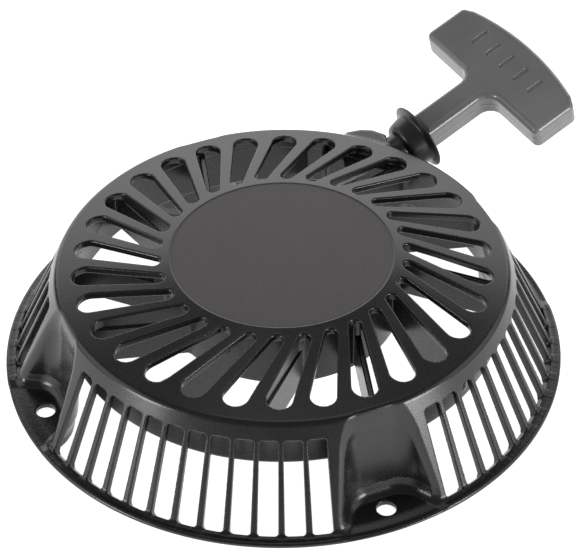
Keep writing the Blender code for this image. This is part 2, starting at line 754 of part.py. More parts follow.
def build_pawl(letter, look):
    angle = PAWL_ANGLES[letter]
    builder = bmesh.new()
    add_prism(builder, pawl_outline(), PAWL_FOOT, PAWL_HEAD)
    place = Matrix.Rotation(angle, 4, "Z") @ Matrix.Translation((PAWL_PIVOT_RADIUS, 0.0, 0.0))
    pawl = add_object("pawl_" + letter, builder, look, place)
    peg = bmesh.new()
    centre = polar(PAWL_PEG_REACH, PAWL_ARM_ANGLE).xy
    add_prism(peg, arc(centre, PAWL_PEG_RADIUS, 0.0, math.tau * 15 / 16, 15),
              CAM_PLATE_FOOT - 0.0010, PAWL_FOOT + 0.0010)
    combine(pawl, add_object("join_peg_" + letter, peg, matrix=place), "UNION")
    bore = bmesh.new()
    add_prism(bore, arc((0.0, 0.0), PAWL_PIN_RADIUS + GAP, 0.0, math.tau * 19 / 20, 19), 0.0150, 0.0300)
    combine(pawl, add_object("cut_pawl_bore_" + letter, bore, matrix=place), "DIFFERENCE")
    return pawl


def build_pawl_spring(letter, look):
    """A small wire coil around the pawl's pin, with a leg along the pawl."""
    angle = PAWL_ANGLES[letter]
    wire = 0.00035
    radius = 0.0043
    turns = 2.25
    per_turn = 12
    foot = REEL_FOOT - 0.0002
    pitch = 0.0011
    points = []
    leg = polar(0.0088, PAWL_ARM_ANGLE)
    start_angle = PAWL_ARM_ANGLE + math.radians(70.0)
    points.append(Vector((leg.x * 0.5 + radius * math.cos(start_angle),
                          leg.y * 0.5 + radius * math.sin(start_angle), PAWL_HEAD + 0.0006)))
    count = int(turns * per_turn)
    for index in range(count + 1):
        here = start_angle - math.tau * turns * index / count
        points.append(polar(radius, here, foot + wire + pitch * turns * index / count))
    place = Matrix.Rotation(angle, 4, "Z") @ Matrix.Translation((PAWL_PIVOT_RADIUS, 0.0, 0.0))
    spring = tube("pawl_spring_" + letter, points, wire, look, resolution=1)
    spring.matrix_world = place
    return spring


def cam_slot_outline():
    """The path that pawl a's peg takes over the cam plate as the plate lags behind, given width."""
    steps = 8
    path = []
    for step in range(-1, steps + 2):
        part = min(max(step / steps, -0.04), 1.04)
        turn = Matrix.Rotation(-PLATE_LAG * part, 2)
        path.append(turn @ peg_place(PAWL_SWING * part))
    half = PAWL_PEG_RADIUS + 0.0005
    left = []
    right = []
    for index in range(1, len(path) - 1):
        heading = (path[index + 1] - path[index - 1]).normalized()
        side = Vector((-heading.y, heading.x)) * half
        left.append(path[index] + side)
        right.append(path[index] - side)
    first = path[1] - path[2]
    last = path[-2] - path[-3]
    start_cap = arc(path[1], half, math.atan2(first.y, first.x) - math.pi / 2,
                    math.atan2(first.y, first.x) + math.pi / 2, 6)
    end_cap = arc(path[-2], half, math.atan2(last.y, last.x) - math.pi / 2,
                  math.atan2(last.y, last.x) + math.pi / 2, 6)
    body = [tuple(point) for point in right[1:-1]]
    back = [tuple(point) for point in reversed(left[1:-1])]
    return body + end_cap + back + start_cap


def build_cam_plate(look):
    builder = bmesh.new()
    profile = [(SHOULDER_RADIUS + 0.0004, CAM_PLATE_FOOT), (CAM_PLATE_RADIUS, CAM_PLATE_FOOT),
               (CAM_PLATE_RADIUS, CAM_PLATE_HEAD), (SHOULDER_RADIUS + 0.0004, CAM_PLATE_HEAD)]
    add_turned(builder, profile, 40, closed=True)
    plate = add_object("friction_plate", builder, look)
    cuts = bmesh.new()
    for angle in PAWL_ANGLES.values():
        turn = Matrix.Rotation(angle, 2)
        outline = [tuple(turn @ Vector(point)) for point in cam_slot_outline()]
        add_prism(cuts, outline, CAM_PLATE_FOOT - 0.0010, CAM_PLATE_HEAD + 0.0010)
    combine(plate, add_object("cut_cam_slots", cuts), "DIFFERENCE")
    return plate


def build_friction_spring(look):
    """A short coil that presses the cam plate up against the reel's hub."""
    wire = 0.0005
    radius = SHOULDER_RADIUS + 0.0016
    foot = 0.0123 + GAP + wire
    head = CAM_PLATE_FOOT - GAP - wire
    turns = 2.5
    count = int(turns * 14)
    points = []
    for index in range(count + 1):
        part = index / count
        points.append(polar(radius, math.tau * turns * part, foot + (head - foot) * part))
    return tube("friction_spring", points, wire, look, resolution=1)


def build_washer(look):
    profile = [(SHOULDER_RADIUS + 0.0004, SCREW_HEAD_TOP + GAP), (0.0098, SCREW_HEAD_TOP + GAP),
               (0.0098, 0.0123), (SHOULDER_RADIUS + 0.0004, 0.0123)]
    return turned("screw_washer", profile, look, closed=True)


def build_screw(look):
    """Hexagon head, shoulder that the plate turns on, and the thread's plain core in the post."""
    profile = [(0.0, SCREW_HEAD_TOP - 0.0008), (0.0092, SCREW_HEAD_TOP - 0.0008), (0.0092, SCREW_HEAD_TOP),
               (SHOULDER_RADIUS, SCREW_HEAD_TOP), (SHOULDER_RADIUS, POST_END - GAP), (0.0023, POST_END - GAP),
               (0.0023, 0.0360), (0.0, 0.0366)]
    screw = turned("centre_screw", profile, look)
    head = bmesh.new()
    add_prism(head, arc((0.0, 0.0), 0.0075, 0.0, math.tau * 5 / 6, 5),
              SCREW_HEAD_FOOT, SCREW_HEAD_TOP - 0.0004)
    combine(screw, add_object("join_screw_head", head), "UNION")
    return screw


# ---------------------------------------------------------------- assembly

def main():
    clear_scene()
    casting = material("black_casting", (0.035, 0.034, 0.033), 0.45, 0.0)
    gloss = material("black_gloss", (0.012, 0.012, 0.012), 0.22)
    grip_plastic = material("grip_plastic", (0.045, 0.045, 0.047), 0.42)
    rope_fibre = material("rope_fibre", (0.55, 0.54, 0.50), 0.85)
    reel_plastic = material("reel_plastic", (0.03, 0.03, 0.03), 0.5)
    steel = material("steel", (0.55, 0.55, 0.56), 0.35, 1.0)
    spring_steel = material("spring_steel", (0.22, 0.24, 0.28), 0.35, 1.0)
    pawl_steel = material("pawl_steel", (0.42, 0.41, 0.39), 0.45, 1.0)

    build_cover(casting)
    build_eyelet(gloss)
    build_handle(grip_plastic)
    build_grip_insert(steel)
    build_handle_knot(rope_fibre)
    build_ropes(rope_fibre)
    build_reel(reel_plastic)
    build_reel_knot(rope_fibre)
    build_recoil_spring(spring_steel)
    build_spring_keeper(steel)
    for letter in PAWL_ANGLES:
        build_pawl(letter, pawl_steel)
        build_pawl_spring(letter, spring_steel)
    build_cam_plate(steel)
    build_friction_spring(spring_steel)
    build_washer(steel)
    build_screw(steel)


main()
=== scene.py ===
import math

import bmesh
import bpy
import numpy as np
from mathutils import Matrix, Vector


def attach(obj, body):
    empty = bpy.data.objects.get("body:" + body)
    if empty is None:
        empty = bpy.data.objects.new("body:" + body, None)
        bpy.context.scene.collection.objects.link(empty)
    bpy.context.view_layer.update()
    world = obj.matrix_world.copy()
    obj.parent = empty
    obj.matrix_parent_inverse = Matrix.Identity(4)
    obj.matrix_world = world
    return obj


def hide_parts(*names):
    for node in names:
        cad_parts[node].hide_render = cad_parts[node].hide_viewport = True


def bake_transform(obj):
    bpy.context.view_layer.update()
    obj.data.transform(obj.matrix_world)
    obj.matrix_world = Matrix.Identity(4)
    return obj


MM = 0.001

# ------------------------------------------------------------------ dimensions, the same as the CAD's, in mm

FLANGE_RADIUS = 120.0
FLANGE_THICKNESS = 2.6
WALL = 3.3
LABEL_RADIUS = 47.2
LABEL_DEPTH = 0.3
PLATE_TOP = 53.3
PLATE_SLOPE = 0.1478
SKIRT_FOOT_RADIUS = 116.95
SKIRT_LEAN = 0.4548
RIM_ROUNDING = 3.3
SHROUD_RADIUS = 92.9
SHROUD_FOOT = 21.1
DRUM_RADIUS = 50.0
DRUM_FOOT = 24.5
INNER_WALL = 2.6
POST_RADIUS = 9.0
POST_END = 20.0
GUTTER = 40.5

SLOT_COUNT = 30
SLOT_OUTER = (83.2, 5.35)
SLOT_INNER = (53.9, 2.7)
SLOT_START = math.radians(3.86)
SLOT_SWEEP = math.radians(10.39)
SLOT_FLOOR = 43.5

RIB_COUNT = 12
RIB_START = math.radians(16.0)
RIB_SWEEP = math.radians(15.5)
RIB_FOOT = 25.8

BAR_PITCH = math.radians(5.5434)
SKIRT_SLOTS = 12
SKIRT_SLOT = (2.9, 39.0, 8.4, 7.5)
HOOD_CLEARANCE = math.radians(11.5)
SILL_SLOPE = 0.75              # fall of a skirt slot's foot towards the inside

LUG_START = math.radians(45.0)
BOLT_CIRCLE = 108.35
BOLT_HOLE = 4.0

ROPE_RADIUS = 2.25
PULL_AZIMUTH = math.radians(56.18)
PULL_TILT = math.radians(17.32)
BAR_ROLL = math.radians(-7.56)
EYELET_MOUTH = Vector((20.1, 115.3, 39.6))
WINDING_RADIUS = 43.7
WINDING_HEIGHT = 34.5
HOOD_HEAD = 43.0
HOOD_FOOT = 14.0
HOOD_SECTOR = (math.radians(30.0), math.radians(150.0))

CENTRE_RADIUS = 44.0           # inside it the cover is a plain turned plate and post
TURN_STEPS = 1080   # samples around the cover
SEAM_MARGIN = 0.9              # points this near the centre stay on the grid, to join onto the rings inside
HOUSING_KEEP = 0.45            # share of the sampled faces that is kept, by thinning flat parts alone
FLAT_LIMIT = math.radians(2.0)
FLAT_MARGIN = 2                # points between a rounding and the nearest thinned face

# ------------------------------------------------------------------ distance fields


def length2(a, b):
    return np.sqrt(a * a + b * b)


def join(a, b, fillet):
    """Union of two solids with a round fillet where they meet."""
    return (np.maximum(fillet, np.minimum(a, b))
            - length2(np.maximum(fillet - a, 0.0), np.maximum(fillet - b, 0.0)))


def meet(a, b, rounding):
    """Intersection of two solids with their shared edge rounded."""
    return (np.minimum(-rounding, np.maximum(a, b))
            + length2(np.maximum(rounding + a, 0.0), np.maximum(rounding + b, 0.0)))


def segment(px, py, start, end):
    """Distance from points to a segment in a plane."""
    dx, dy = end[0] - start[0], end[1] - start[1]
    span = max(dx * dx + dy * dy, 1e-12)
    along = np.clip(((px - start[0]) * dx + (py - start[1]) * dy) / span, 0.0, 1.0)
    return length2(px - start[0] - along * dx, py - start[1] - along * dy)


def polyline(px, py, points):
    best = segment(px, py, points[0], points[1])
    for start, end in zip(points[1:], points[2:]):
        best = np.minimum(best, segment(px, py, start, end))
    return best


def polygon(px, py, points):
    """Signed distance to a closed outline, negative inside."""
    best = np.full(np.shape(px), 1e9)
    inside = np.zeros(np.shape(px), bool)
    for (ax, ay), (bx, by) in zip(points, points[1:] + points[:1]):
        best = np.minimum(best, segment(px, py, (ax, ay), (bx, by)))
        crossing = (ay > py) != (by > py)
        if ay != by:
            inside ^= crossing & (px < (bx - ax) * (py - ay) / (by - ay) + ax)
    return np.where(inside, -best, best)


def tapered(px, py, start, start_radius, end, end_radius):
    """Signed distance to a slot with round ends of two sizes."""
    dx, dy = end[0] - start[0], end[1] - start[1]
    span = math.hypot(dx, dy)
    lean = (start_radius - end_radius) / span
    level = math.sqrt(1.0 - lean * lean)
    x = np.abs((px - start[0]) * dy - (py - start[1]) * dx) / span
    y = ((px - start[0]) * dx + (py - start[1]) * dy) / span
    side = y * level - x * lean
    return np.where(side < 0.0, length2(x, y) - start_radius,
                    np.where(side > level * span, length2(x, y - span) - end_radius,
                             x * level + y * lean - start_radius))


def arc(centre, radius, start, end, steps):
    return [(centre[0] + radius * math.cos(start + (end - start) * k / steps),
             centre[1] + radius * math.sin(start + (end - start) * k / steps)) for k in range(steps + 1)]


def surface_net(field, closed):
    """Skin the zero level of a sampled field. The first axis wraps around when closed.

    Returns fractional grid places of the points and the quads between them.
    """
    if closed:
        field = np.concatenate([field, field[:1]], axis=0)
    cells = tuple(size - 1 for size in field.shape)
    inside = field < 0.0
    total = np.zeros(cells, np.uint8)
    corners = [(i, j, k) for i in (0, 1) for j in (0, 1) for k in (0, 1)]
    for corner in corners:
        total += inside[tuple(slice(start, start + size) for start, size in zip(corner, cells))]
    where = np.argwhere((total > 0) & (total < 8))
    number = np.full(cells, -1, np.int32)
    number[tuple(where.T)] = np.arange(len(where))
    weight = np.zeros(len(where))
    place = np.zeros((len(where), 3))
    for corner in corners:
        for axis in range(3):
            if corner[axis]:
                continue
            other = list(corner)
            other[axis] = 1
            a = field[tuple((where + corner).T)]
            b = field[tuple((where + other).T)]
            cross = (a < 0.0) != (b < 0.0)
            share = np.where(cross, a / np.where(cross, a - b, 1.0), 0.0)
            point = np.tile(np.array(corner, float), (len(where), 1))
            point[:, axis] += share
            place += np.where(cross[:, None], point, 0.0)
            weight += cross
    place = where + place / weight[:, None]
    quads = []
    for axis in range(3):
        u, v = (axis + 1) % 3, (axis + 2) % 3
        low = [slice(0, size) for size in cells]
        high = list(low)
        high[axis] = slice(1, cells[axis] + 1)
        change = inside[tuple(low)] != inside[tuple(high)]
        first = inside[tuple(low)]
        edges = np.argwhere(change)
        wraps = closed and 0 in (u, v)
        for side in (u, v):
            if not (wraps and side == 0):
                edges = edges[edges[:, side] > 0]
        ring = []
        for back_u, back_v in ((1, 1), (0, 1), (0, 0), (1, 0)):
            cell = edges.copy()
            cell[:, u] -= back_u
            cell[:, v] -= back_v
            if closed:
                cell[:, 0] %= cells[0]
            ring.append(number[tuple(cell.T)])
        quad = np.stack(ring, axis=1)
        flip = ~first[tuple(edges.T)]
        quad[flip] = quad[flip][:, ::-1]
        quads.append(quad)
    quads = np.concatenate(quads)
    return place, quads[:, ::-1] if closed else quads   # angle, radius, height is a left-handed order


def slope_of(field, points, step):
    """Slope of a field at points, by differences over twice a step."""
    slope = np.zeros_like(points)
    for axis in range(3):
        offset = np.zeros(3)
        offset[axis] = step
        slope[:, axis] = (field(*(points + offset).T) - field(*(points - offset).T)) / (2 * step)
    return slope


def settle(points, field, rounds=4, step=0.02, reach=0.35):
    """Move points onto the zero level of a field along its slope, never farther than reach at a time."""
    for _ in range(rounds):
        value = field(*points.T)
        slope = slope_of(field, points, step)
        norm = np.maximum((slope ** 2).sum(1), 0.15)
        move = -(value / norm)[:, None] * slope
        size = np.sqrt((move ** 2).sum(1))
        points = points + move * np.minimum(1.0, reach / np.maximum(size, 1e-9))[:, None]
    return points


# ------------------------------------------------------------------ the cover's field

def plate_height(radius):
    return PLATE_TOP - PLATE_SLOPE * (radius - LABEL_RADIUS)


def skirt_radius(height):
    return SKIRT_FOOT_RADIUS - SKIRT_LEAN * height


def rim_line(depth, steps=14):
    """The line at one depth under the plate, around the rim and down the skirt."""
    plate_rise = math.hypot(1.0, PLATE_SLOPE)
    skirt_rise = math.hypot(1.0, SKIRT_LEAN)
    level = PLATE_TOP + PLATE_SLOPE * LABEL_RADIUS - RIM_ROUNDING * plate_rise
    reach = SKIRT_FOOT_RADIUS - RIM_ROUNDING * skirt_rise
    height = (level - PLATE_SLOPE * reach) / (1.0 - PLATE_SLOPE * SKIRT_LEAN)
    centre = (reach - SKIRT_LEAN * height, height)
    bend = arc(centre, RIM_ROUNDING - depth, math.atan2(1.0, PLATE_SLOPE), math.atan(SKIRT_LEAN), steps)
    foot = 1.7
    return [(30.0, plate_height(30.0) - depth * plate_rise), *bend,
            (skirt_radius(foot) - depth * skirt_rise, foot)]


SHELL_LINE = rim_line(WALL / 2)


def walls(radius, height):
    """Shell, flange, shroud ring and drum wall: everything that is turned."""
    shell = polyline(radius, height, SHELL_LINE) - WALL / 2
    half = FLANGE_THICKNESS / 2
    flange = segment(radius, height, (114.5, half), (FLANGE_RADIUS - half, half)) - half
    solid = join(shell, flange, 1.5)
    gutter = np.maximum(np.maximum(GUTTER - height, SHROUD_RADIUS - INNER_WALL - radius),
                        polygon_cap(radius, height))
    ring = SHROUD_RADIUS - INNER_WALL / 2
    shroud = segment(radius, height, (ring, SHROUD_FOOT + INNER_WALL / 2), (ring, 43.0)) - INNER_WALL / 2
    drum_line, half = DRUM_RADIUS - INNER_WALL / 2, INNER_WALL / 2
    drum = segment(radius, height, (drum_line, DRUM_FOOT + half), (drum_line, 49.0)) - half
    solid = join(np.minimum(solid, gutter), shroud, 1.0)
    solid = join(solid, drum, 1.2)
    recess = np.maximum((radius - LABEL_RADIUS + PLATE_TOP - height) / math.sqrt(2.0),
                        PLATE_TOP - LABEL_DEPTH - height)
    top = PLATE_TOP - LABEL_DEPTH
    floor = np.maximum(np.maximum(height - top, top - WALL - height), radius - LABEL_RADIUS + 0.4)
    return np.minimum(meet(solid, -recess, 0.45), floor)


def polygon_cap(radius, height):
    """Inside the outer surface by half a wall: negative below the plate and behind the skirt."""
    plate = (height - plate_height(radius)) / math.hypot(1.0, PLATE_SLOPE)
    skirt = (radius - skirt_radius(height)) / math.hypot(1.0, SKIRT_LEAN)
    return np.maximum(plate, skirt) + WALL / 2


def outer_side(radius, height):
    """Signed distance to the cover's outer surface, rim rounding included."""
    plate = (height - plate_height(radius)) / math.hypot(1.0, PLATE_SLOPE)
    skirt = (radius - skirt_radius(height)) / math.hypot(1.0, SKIRT_LEAN)
    return meet(plate, skirt, RIM_ROUNDING)


def nearest(angle, start, count):
    """Turn angles back into the sector of the nearest of count repeats."""
    pitch = math.tau / count
    return (angle - start + pitch / 2) % pitch - pitch / 2


def plate_slot_field(radius, angle):
    best = None
    turned = nearest(angle, SLOT_START, SLOT_COUNT)
    for lap in (-1, 0, 1, 2):
        local = turned + lap * math.tau / SLOT_COUNT - math.tau / SLOT_COUNT
        px, py = radius * np.cos(local), radius * np.sin(local)
        inner = (SLOT_INNER[0] * math.cos(SLOT_SWEEP), SLOT_INNER[0] * math.sin(SLOT_SWEEP))
        gap = tapered(px, py, (SLOT_OUTER[0], 0.0), SLOT_OUTER[1], inner, SLOT_INNER[1])
        best = gap if best is None else np.minimum(best, gap)
    return best


def rib_field(radius, angle):
    best = None
    turned = nearest(angle, RIB_START, RIB_COUNT)
    for lap in (-1, 0, 1):
        local = turned + lap * math.tau / RIB_COUNT
        px, py = radius * np.cos(local), radius * np.sin(local)
        inner = ((DRUM_RADIUS - 1.2) * math.cos(RIB_SWEEP), (DRUM_RADIUS - 1.2) * math.sin(RIB_SWEEP))
        blade = segment(px, py, (SHROUD_RADIUS - 1.3, 0.0), inner) - INNER_WALL / 2
        best = blade if best is None else np.minimum(best, blade)
    return best


def skirt_slot_field(radius, angle, height):
    foot, head, foot_width, head_width = SKIRT_SLOT
    bay = nearest(angle, LUG_START + math.pi / 4, 4)
    place = np.clip(np.round(bay / BAR_PITCH + (SKIRT_SLOTS - 1) / 2), 0, SKIRT_SLOTS - 1)
    offset = BAR_PITCH * (place - (SKIRT_SLOTS - 1) / 2)
    across = radius * np.sin(bay - offset)
    rise = (height - foot) / (head - foot)
    half = (foot_width + (head_width - foot_width) * rise) / 2
    corner = 1.3
    foot = foot - SILL_SLOPE * np.clip(skirt_radius(height) - radius, 0.0, WALL)
    u = np.abs(across) - half + corner
    v = np.abs(height - (foot + head) / 2) - (head - foot) / 2 + corner
    gap = length2(np.maximum(u, 0.0), np.maximum(v, 0.0)) + np.minimum(np.maximum(u, v), 0.0) - corner
    hooded = (np.abs((angle - math.pi / 2 + math.pi) % math.tau - math.pi) < math.pi / 4) \
        & (np.abs(offset) < HOOD_CLEARANCE)
    return np.where(hooded, 5.0, gap)


LUG_LEVELS = np.array([
    (0.0, 100.4, 12.0, 116.0, 21.8, 6.5),
    (3.2, 100.4, 12.0, 116.0, 21.8, 6.5),
    (8.0, 98.8, 12.5, 113.5, 21.2, 6.0),
    (34.0, 96.2, 12.0, 103.0, 16.5, 4.2),
    (44.0, 96.2, 11.3, 99.5, 14.0, 2.6),
    (60.0, 96.2, 11.3, 99.5, 14.0, 2.6),
])
TAB_FLOOR = FLANGE_THICKNESS


def lug_plan(radius, angle, height):
    """Signed distance in plan to the hollow over the nearest bolt."""
    local = nearest(angle, LUG_START, 4)
    u, v = radius * np.cos(local), np.abs(radius * np.sin(local))
    back, back_half, mouth, mouth_half, rounding = (
        np.interp(height, LUG_LEVELS[:, 0], LUG_LEVELS[:, column]) for column in range(1, 6))
    run_u, run_v = mouth - back, mouth_half - back_half
    size = length2(run_u, run_v)
    side = (-(u - back) * run_v + (v - back_half) * run_u) / size
    return meet(side, back - u, rounding)


def hood_shape(inset):
    pull = Vector((math.cos(PULL_AZIMUTH), math.sin(PULL_AZIMUTH)))
    flank = Vector((pull.y, -pull.x))
    shoulder = Vector((8.5, 105.8))
    points = [Vector((-15.0 + inset, 88.5)), Vector((-12.0 + inset, 101.0)),
              Vector((-6.5 + inset * 0.6, 107.2 - inset * 0.9)), Vector((0.0, 109.0 - inset)),
              Vector((5.0, 108.3 - inset)), shoulder - pull * inset,
              shoulder + flank * 19.0 - pull * inset, Vector((21.5 - inset, 88.0))]
    return [(point.x, point.y) for point in points]


def pull_axes():
    along = Vector((math.cos(PULL_AZIMUTH) * math.cos(PULL_TILT),
                    math.sin(PULL_AZIMUTH) * math.cos(PULL_TILT), math.sin(PULL_TILT)))
    across = along.cross(Vector((0.0, 0.0, 1.0))).normalized()
    return across, along, across.cross(along)


def pull_place():
    """Matrix in metres: X along the bar, Y along the pull, Z out of the handle's top."""
    level = Matrix(pull_axes()).transposed().to_4x4()
    return Matrix.Translation(EYELET_MOUTH * MM) @ level @ Matrix.Rotation(-BAR_ROLL, 4, "Y")


def rope_route():
    """Where the rope leaves the winding, and the eyelet's inner end, in mm."""
    entry = EYELET_MOUTH + pull_axes()[1] * -18.5
    angle = math.atan2(entry.y, entry.x) + math.acos(WINDING_RADIUS / math.hypot(entry.x, entry.y))
    leave = Vector((WINDING_RADIUS * math.cos(angle), WINDING_RADIUS * math.sin(angle), WINDING_HEIGHT))
    return leave, entry, angle


def hood_part(solid, radius, angle, height):
    """Blend the hood onto the cover and hollow it, with the ways for the rope and the eyelet's collar."""
    px, py = radius * np.cos(angle), radius * np.sin(angle)
    plan = polygon(px, py, hood_shape(3.2)) - 3.2
    bulge = meet(meet(plan, height - HOOD_HEAD, 4.0), HOOD_FOOT - height, 1.0)
    solid = join(solid, bulge, 3.0)
    room = polygon(px, py, hood_shape(WALL + 1.5)) - 1.5
    room = np.maximum(np.maximum(room, SHROUD_RADIUS + 0.4 - radius), height - HOOD_HEAD + WALL)
    solid = meet(solid, -room, 0.5)
    leave, entry, _ = rope_route()
    way = Vector((entry.x - leave.x, entry.y - leave.y))
    reach, way = way.length, way.normalized()
    along = (px - leave.x) * way.x + (py - leave.y) * way.y
    aside = np.abs((px - leave.x) * -way.y + (py - leave.y) * way.x)
    channel = np.maximum(np.maximum(aside - 5.0, 6.0 - along), along - reach + 1.5)
    channel = np.maximum(channel, height - 41.2)
    solid = meet(solid, -channel, 0.5)
    axis = pull_axes()[1]
    qx, qy, qz = px - EYELET_MOUTH.x, py - EYELET_MOUTH.y, height - EYELET_MOUTH.z
    t = qx * axis.x + qy * axis.y + qz * axis.z
    off = np.sqrt(np.maximum(qx * qx + qy * qy + qz * qz - t * t, 0.0))
    hole = np.maximum(off - 8.3, np.maximum(t + 8.0, -22.5 - t))
    return meet(solid, -hole, 0.4)


def cover_field(radius, angle, height):
    """The whole cover outside the centre, for broadcastable cylindrical coordinates."""
    solid = walls(radius, height) + 0.0 * angle
    slots = np.maximum(plate_slot_field(radius, angle) + 0.0 * height, SLOT_FLOOR - height)
    blades = np.maximum(meet(rib_field(radius, angle) + 0.0 * height, RIB_FOOT - height, 0.6),
                        height - plate_height(radius) + 1.6)
    solid = join(solid, blades, 1.0)
    plan = lug_plan(radius, angle, height)
    outside = outer_side(radius, height)
    block = np.maximum(np.maximum(plan - WALL, outside + 0.02), -height)
    solid = np.minimum(solid, block)
    gaps = np.maximum(skirt_slot_field(radius, angle, height), SHROUD_RADIUS + 0.8 - radius)
    gaps = np.maximum(gaps, height - 42.0)
    gaps = np.maximum(gaps, np.where(height < 30.0, -outside - 9.0, -outside - 6.5))
    solid = meet(solid, -gaps, 0.55)
    solid = meet(solid, -slots, 0.75)
    pocket = meet(plan, TAB_FLOOR - height, 3.0)
    solid = meet(solid, -pocket, 2.6)
    near = nearest(angle, LUG_START, 4)
    bolt = length2(radius * np.cos(near) - BOLT_CIRCLE, radius * np.sin(near)) - BOLT_HOLE
    return np.maximum(meet(solid, -bolt - 0.0 * height, 0.5), -height)


def spaced(*stops):
    """Levels between stops: (end of stretch, spacing) after a first value."""
    levels = [stops[0]]
    for end, spacing in stops[1:]:
        count = max(1, round((end - levels[-1]) / spacing))
        start = levels[-1]
        levels += [start + (end - start) * k / count for k in range(1, count + 1)]
    return np.array(levels)


# ------------------------------------------------------------------ mesh helpers

def mesh_object(name, points, faces, look):
    mesh = bpy.data.meshes.new(name)
    mesh.from_pydata([tuple(p) for p in points], [], [tuple(int(i) for i in f) for f in faces])
    mesh.update()
    mesh.shade_smooth()
    item = bpy.data.objects.new(name, mesh)
    bpy.context.scene.collection.objects.link(item)
    mesh.materials.append(look)
    return item


def apply_modifiers(item):
    bpy.context.view_layer.update()
    graph = bpy.context.evaluated_depsgraph_get()
    mesh = bpy.data.meshes.new_from_object(item.evaluated_get(graph), depsgraph=graph)
    item.modifiers.clear()
    old = item.data
    item.data = mesh
    bpy.data.meshes.remove(old)


def exact_normals(item, field, chosen=None):
    """Shade a thinned mesh by its field's own slope, so that flat faces stay flat up to their edges."""
    mesh = item.data
    count = len(mesh.vertices)
    places = np.empty(count * 3)
    mesh.vertices.foreach_get("co", places)
    places = places.reshape(-1, 3) / MM
    normals = np.empty(count * 3)
    mesh.vertex_normals.foreach_get("vector", normals)
    normals = normals.reshape(-1, 3)
    picked = np.arange(count) if chosen is None else np.nonzero(chosen(places))[0]
    slope = slope_of(field, places[picked], 0.06)
    size = np.sqrt((slope ** 2).sum(1))
    slope /= np.maximum(size, 1e-9)[:, None]
    agrees = (size > 0.25) & ((slope * normals[picked]).sum(1) > 0.3)
    normals[picked[agrees]] = slope[agrees]
    mesh.normals_split_custom_set_from_vertices([tuple(n) for n in normals])


def from_turned(place, steps, radii, heights):
    """Points in mm from fractional places on a grid of angles, radii and heights."""
    angle = place[:, 0] * math.tau / steps
    radius = np.interp(place[:, 1], np.arange(len(radii)), radii)
    height = np.interp(place[:, 2], np.arange(len(heights)), heights)
    return np.stack([radius * np.cos(angle), radius * np.sin(angle), height], axis=1)


def build_housing():
    """The cover outside its centre: points in mm, quads, and the exact field they lie on."""
    angles = np.arange(TURN_STEPS) * math.tau / TURN_STEPS
    radii = spaced(CENTRE_RADIUS, (46.4, 0.8), (48.0, 0.27), (51.0, 0.6), (118.2, 0.64), (120.8, 0.4))
    heights = spaced(-0.9, (4.5, 0.45), (38.0, 1.0), (41.0, 0.5), (54.4, 0.48))
    field = np.empty((TURN_STEPS, len(radii), len(heights)), np.float32)
    chunk = 90
    for start in range(0, TURN_STEPS, chunk):
        part = angles[start:start + chunk, None, None]
        values = cover_field(radii[None, :, None], part, heights[None, None, :])
        if HOOD_SECTOR[0] < (start + chunk / 2) * math.tau / TURN_STEPS < HOOD_SECTOR[1]:
            values = hood_part(values, radii[None, :, None], part, heights[None, None, :])
        field[start:start + chunk] = values
    place, quads = surface_net(field, True)
    points = from_turned(place, TURN_STEPS, radii, heights)

    def exact(x, y, z):
        r, a = length2(x, y), np.arctan2(y, x) % math.tau
        values = cover_field(r, a, z)
        near = (a > HOOD_SECTOR[0]) & (a < HOOD_SECTOR[1])
        values[near] = hood_part(values[near], r[near], a[near], z[near])
        return values

    edge = length2(points[:, 0], points[:, 1]) < CENTRE_RADIUS + SEAM_MARGIN
    moved = settle(points, exact)
    moved[edge] = points[edge]
    return moved, [tuple(q) for q in quads], exact


def flat_points(points, quads):
    """Numbers of the points well away from any rounding, where the mesh can be thinned unseen."""
    corners = points[quads]
    facing = np.cross(corners[:, 2] - corners[:, 0], corners[:, 3] - corners[:, 1])
    facing /= np.maximum(np.sqrt((facing ** 2).sum(1)), 1e-12)[:, None]
    mean = np.zeros_like(points)
    for corner in range(4):
        for axis in range(3):
            mean[:, axis] += np.bincount(quads[:, corner], facing[:, axis], len(points))
    mean /= np.maximum(np.sqrt((mean ** 2).sum(1)), 1e-12)[:, None]
    bent = np.zeros(len(points), bool)
    for corner in range(4):
        turned = (facing * mean[quads[:, corner]]).sum(1) < math.cos(FLAT_LIMIT)
        bent[quads[turned].ravel()] = True
    for _ in range(FLAT_MARGIN):
        bent[quads[bent[quads].any(axis=1)].ravel()] = True
    return np.nonzero(~bent)[0]


def ring_order(points, chosen):
    """Point numbers of a level ring, ordered around the axis."""
    return [int(i) for i in sorted(chosen, key=lambda i: math.atan2(points[i][1], points[i][0]) % math.tau)]


def stitch(outer, inner):
    """Faces between a ring and one with a whole fraction of its points."""
    ratio = len(outer) // len(inner)
    faces = []
    for index in range(len(inner)):
        following = (index + 1) % len(inner)
        base = index * ratio
        middle = base + ratio // 2
        for step in range(ratio):
            a, b = outer[(base + step) % len(outer)], outer[(base + step + 1) % len(outer)]
            faces.append((a, b, inner[index] if base + step < middle else inner[following]))
        faces.append((outer[middle % len(outer)], inner[following], inner[index]))
    return faces


def add_ring(points, radius, height, count):
    first = len(points)
    for index in range(count):
        angle = math.tau * index / count
        points.append((radius * math.cos(angle), radius * math.sin(angle), height))
    return list(range(first, first + count))


def fill_centre(points, faces, rim, profile, count, flipped):
    """Carry a ring inwards through (radius, height) points to the axis."""
    new = []
    row = rim
    for radius, height in profile:
        if radius == 0.0:
            points.append((0.0, 0.0, height))
            tip = len(points) - 1
            new += [(row[i], row[(i + 1) % len(row)], tip) for i in range(len(row))]
            continue
        ring = add_ring(points, radius, height, count)
        if len(row) == count:
            new += [(row[i], row[(i + 1) % count], ring[(i + 1) % count], ring[i]) for i in range(count)]
        else:
            new += stitch(row, ring)
        row = ring
    faces += [face[::-1] if flipped else face for face in new]


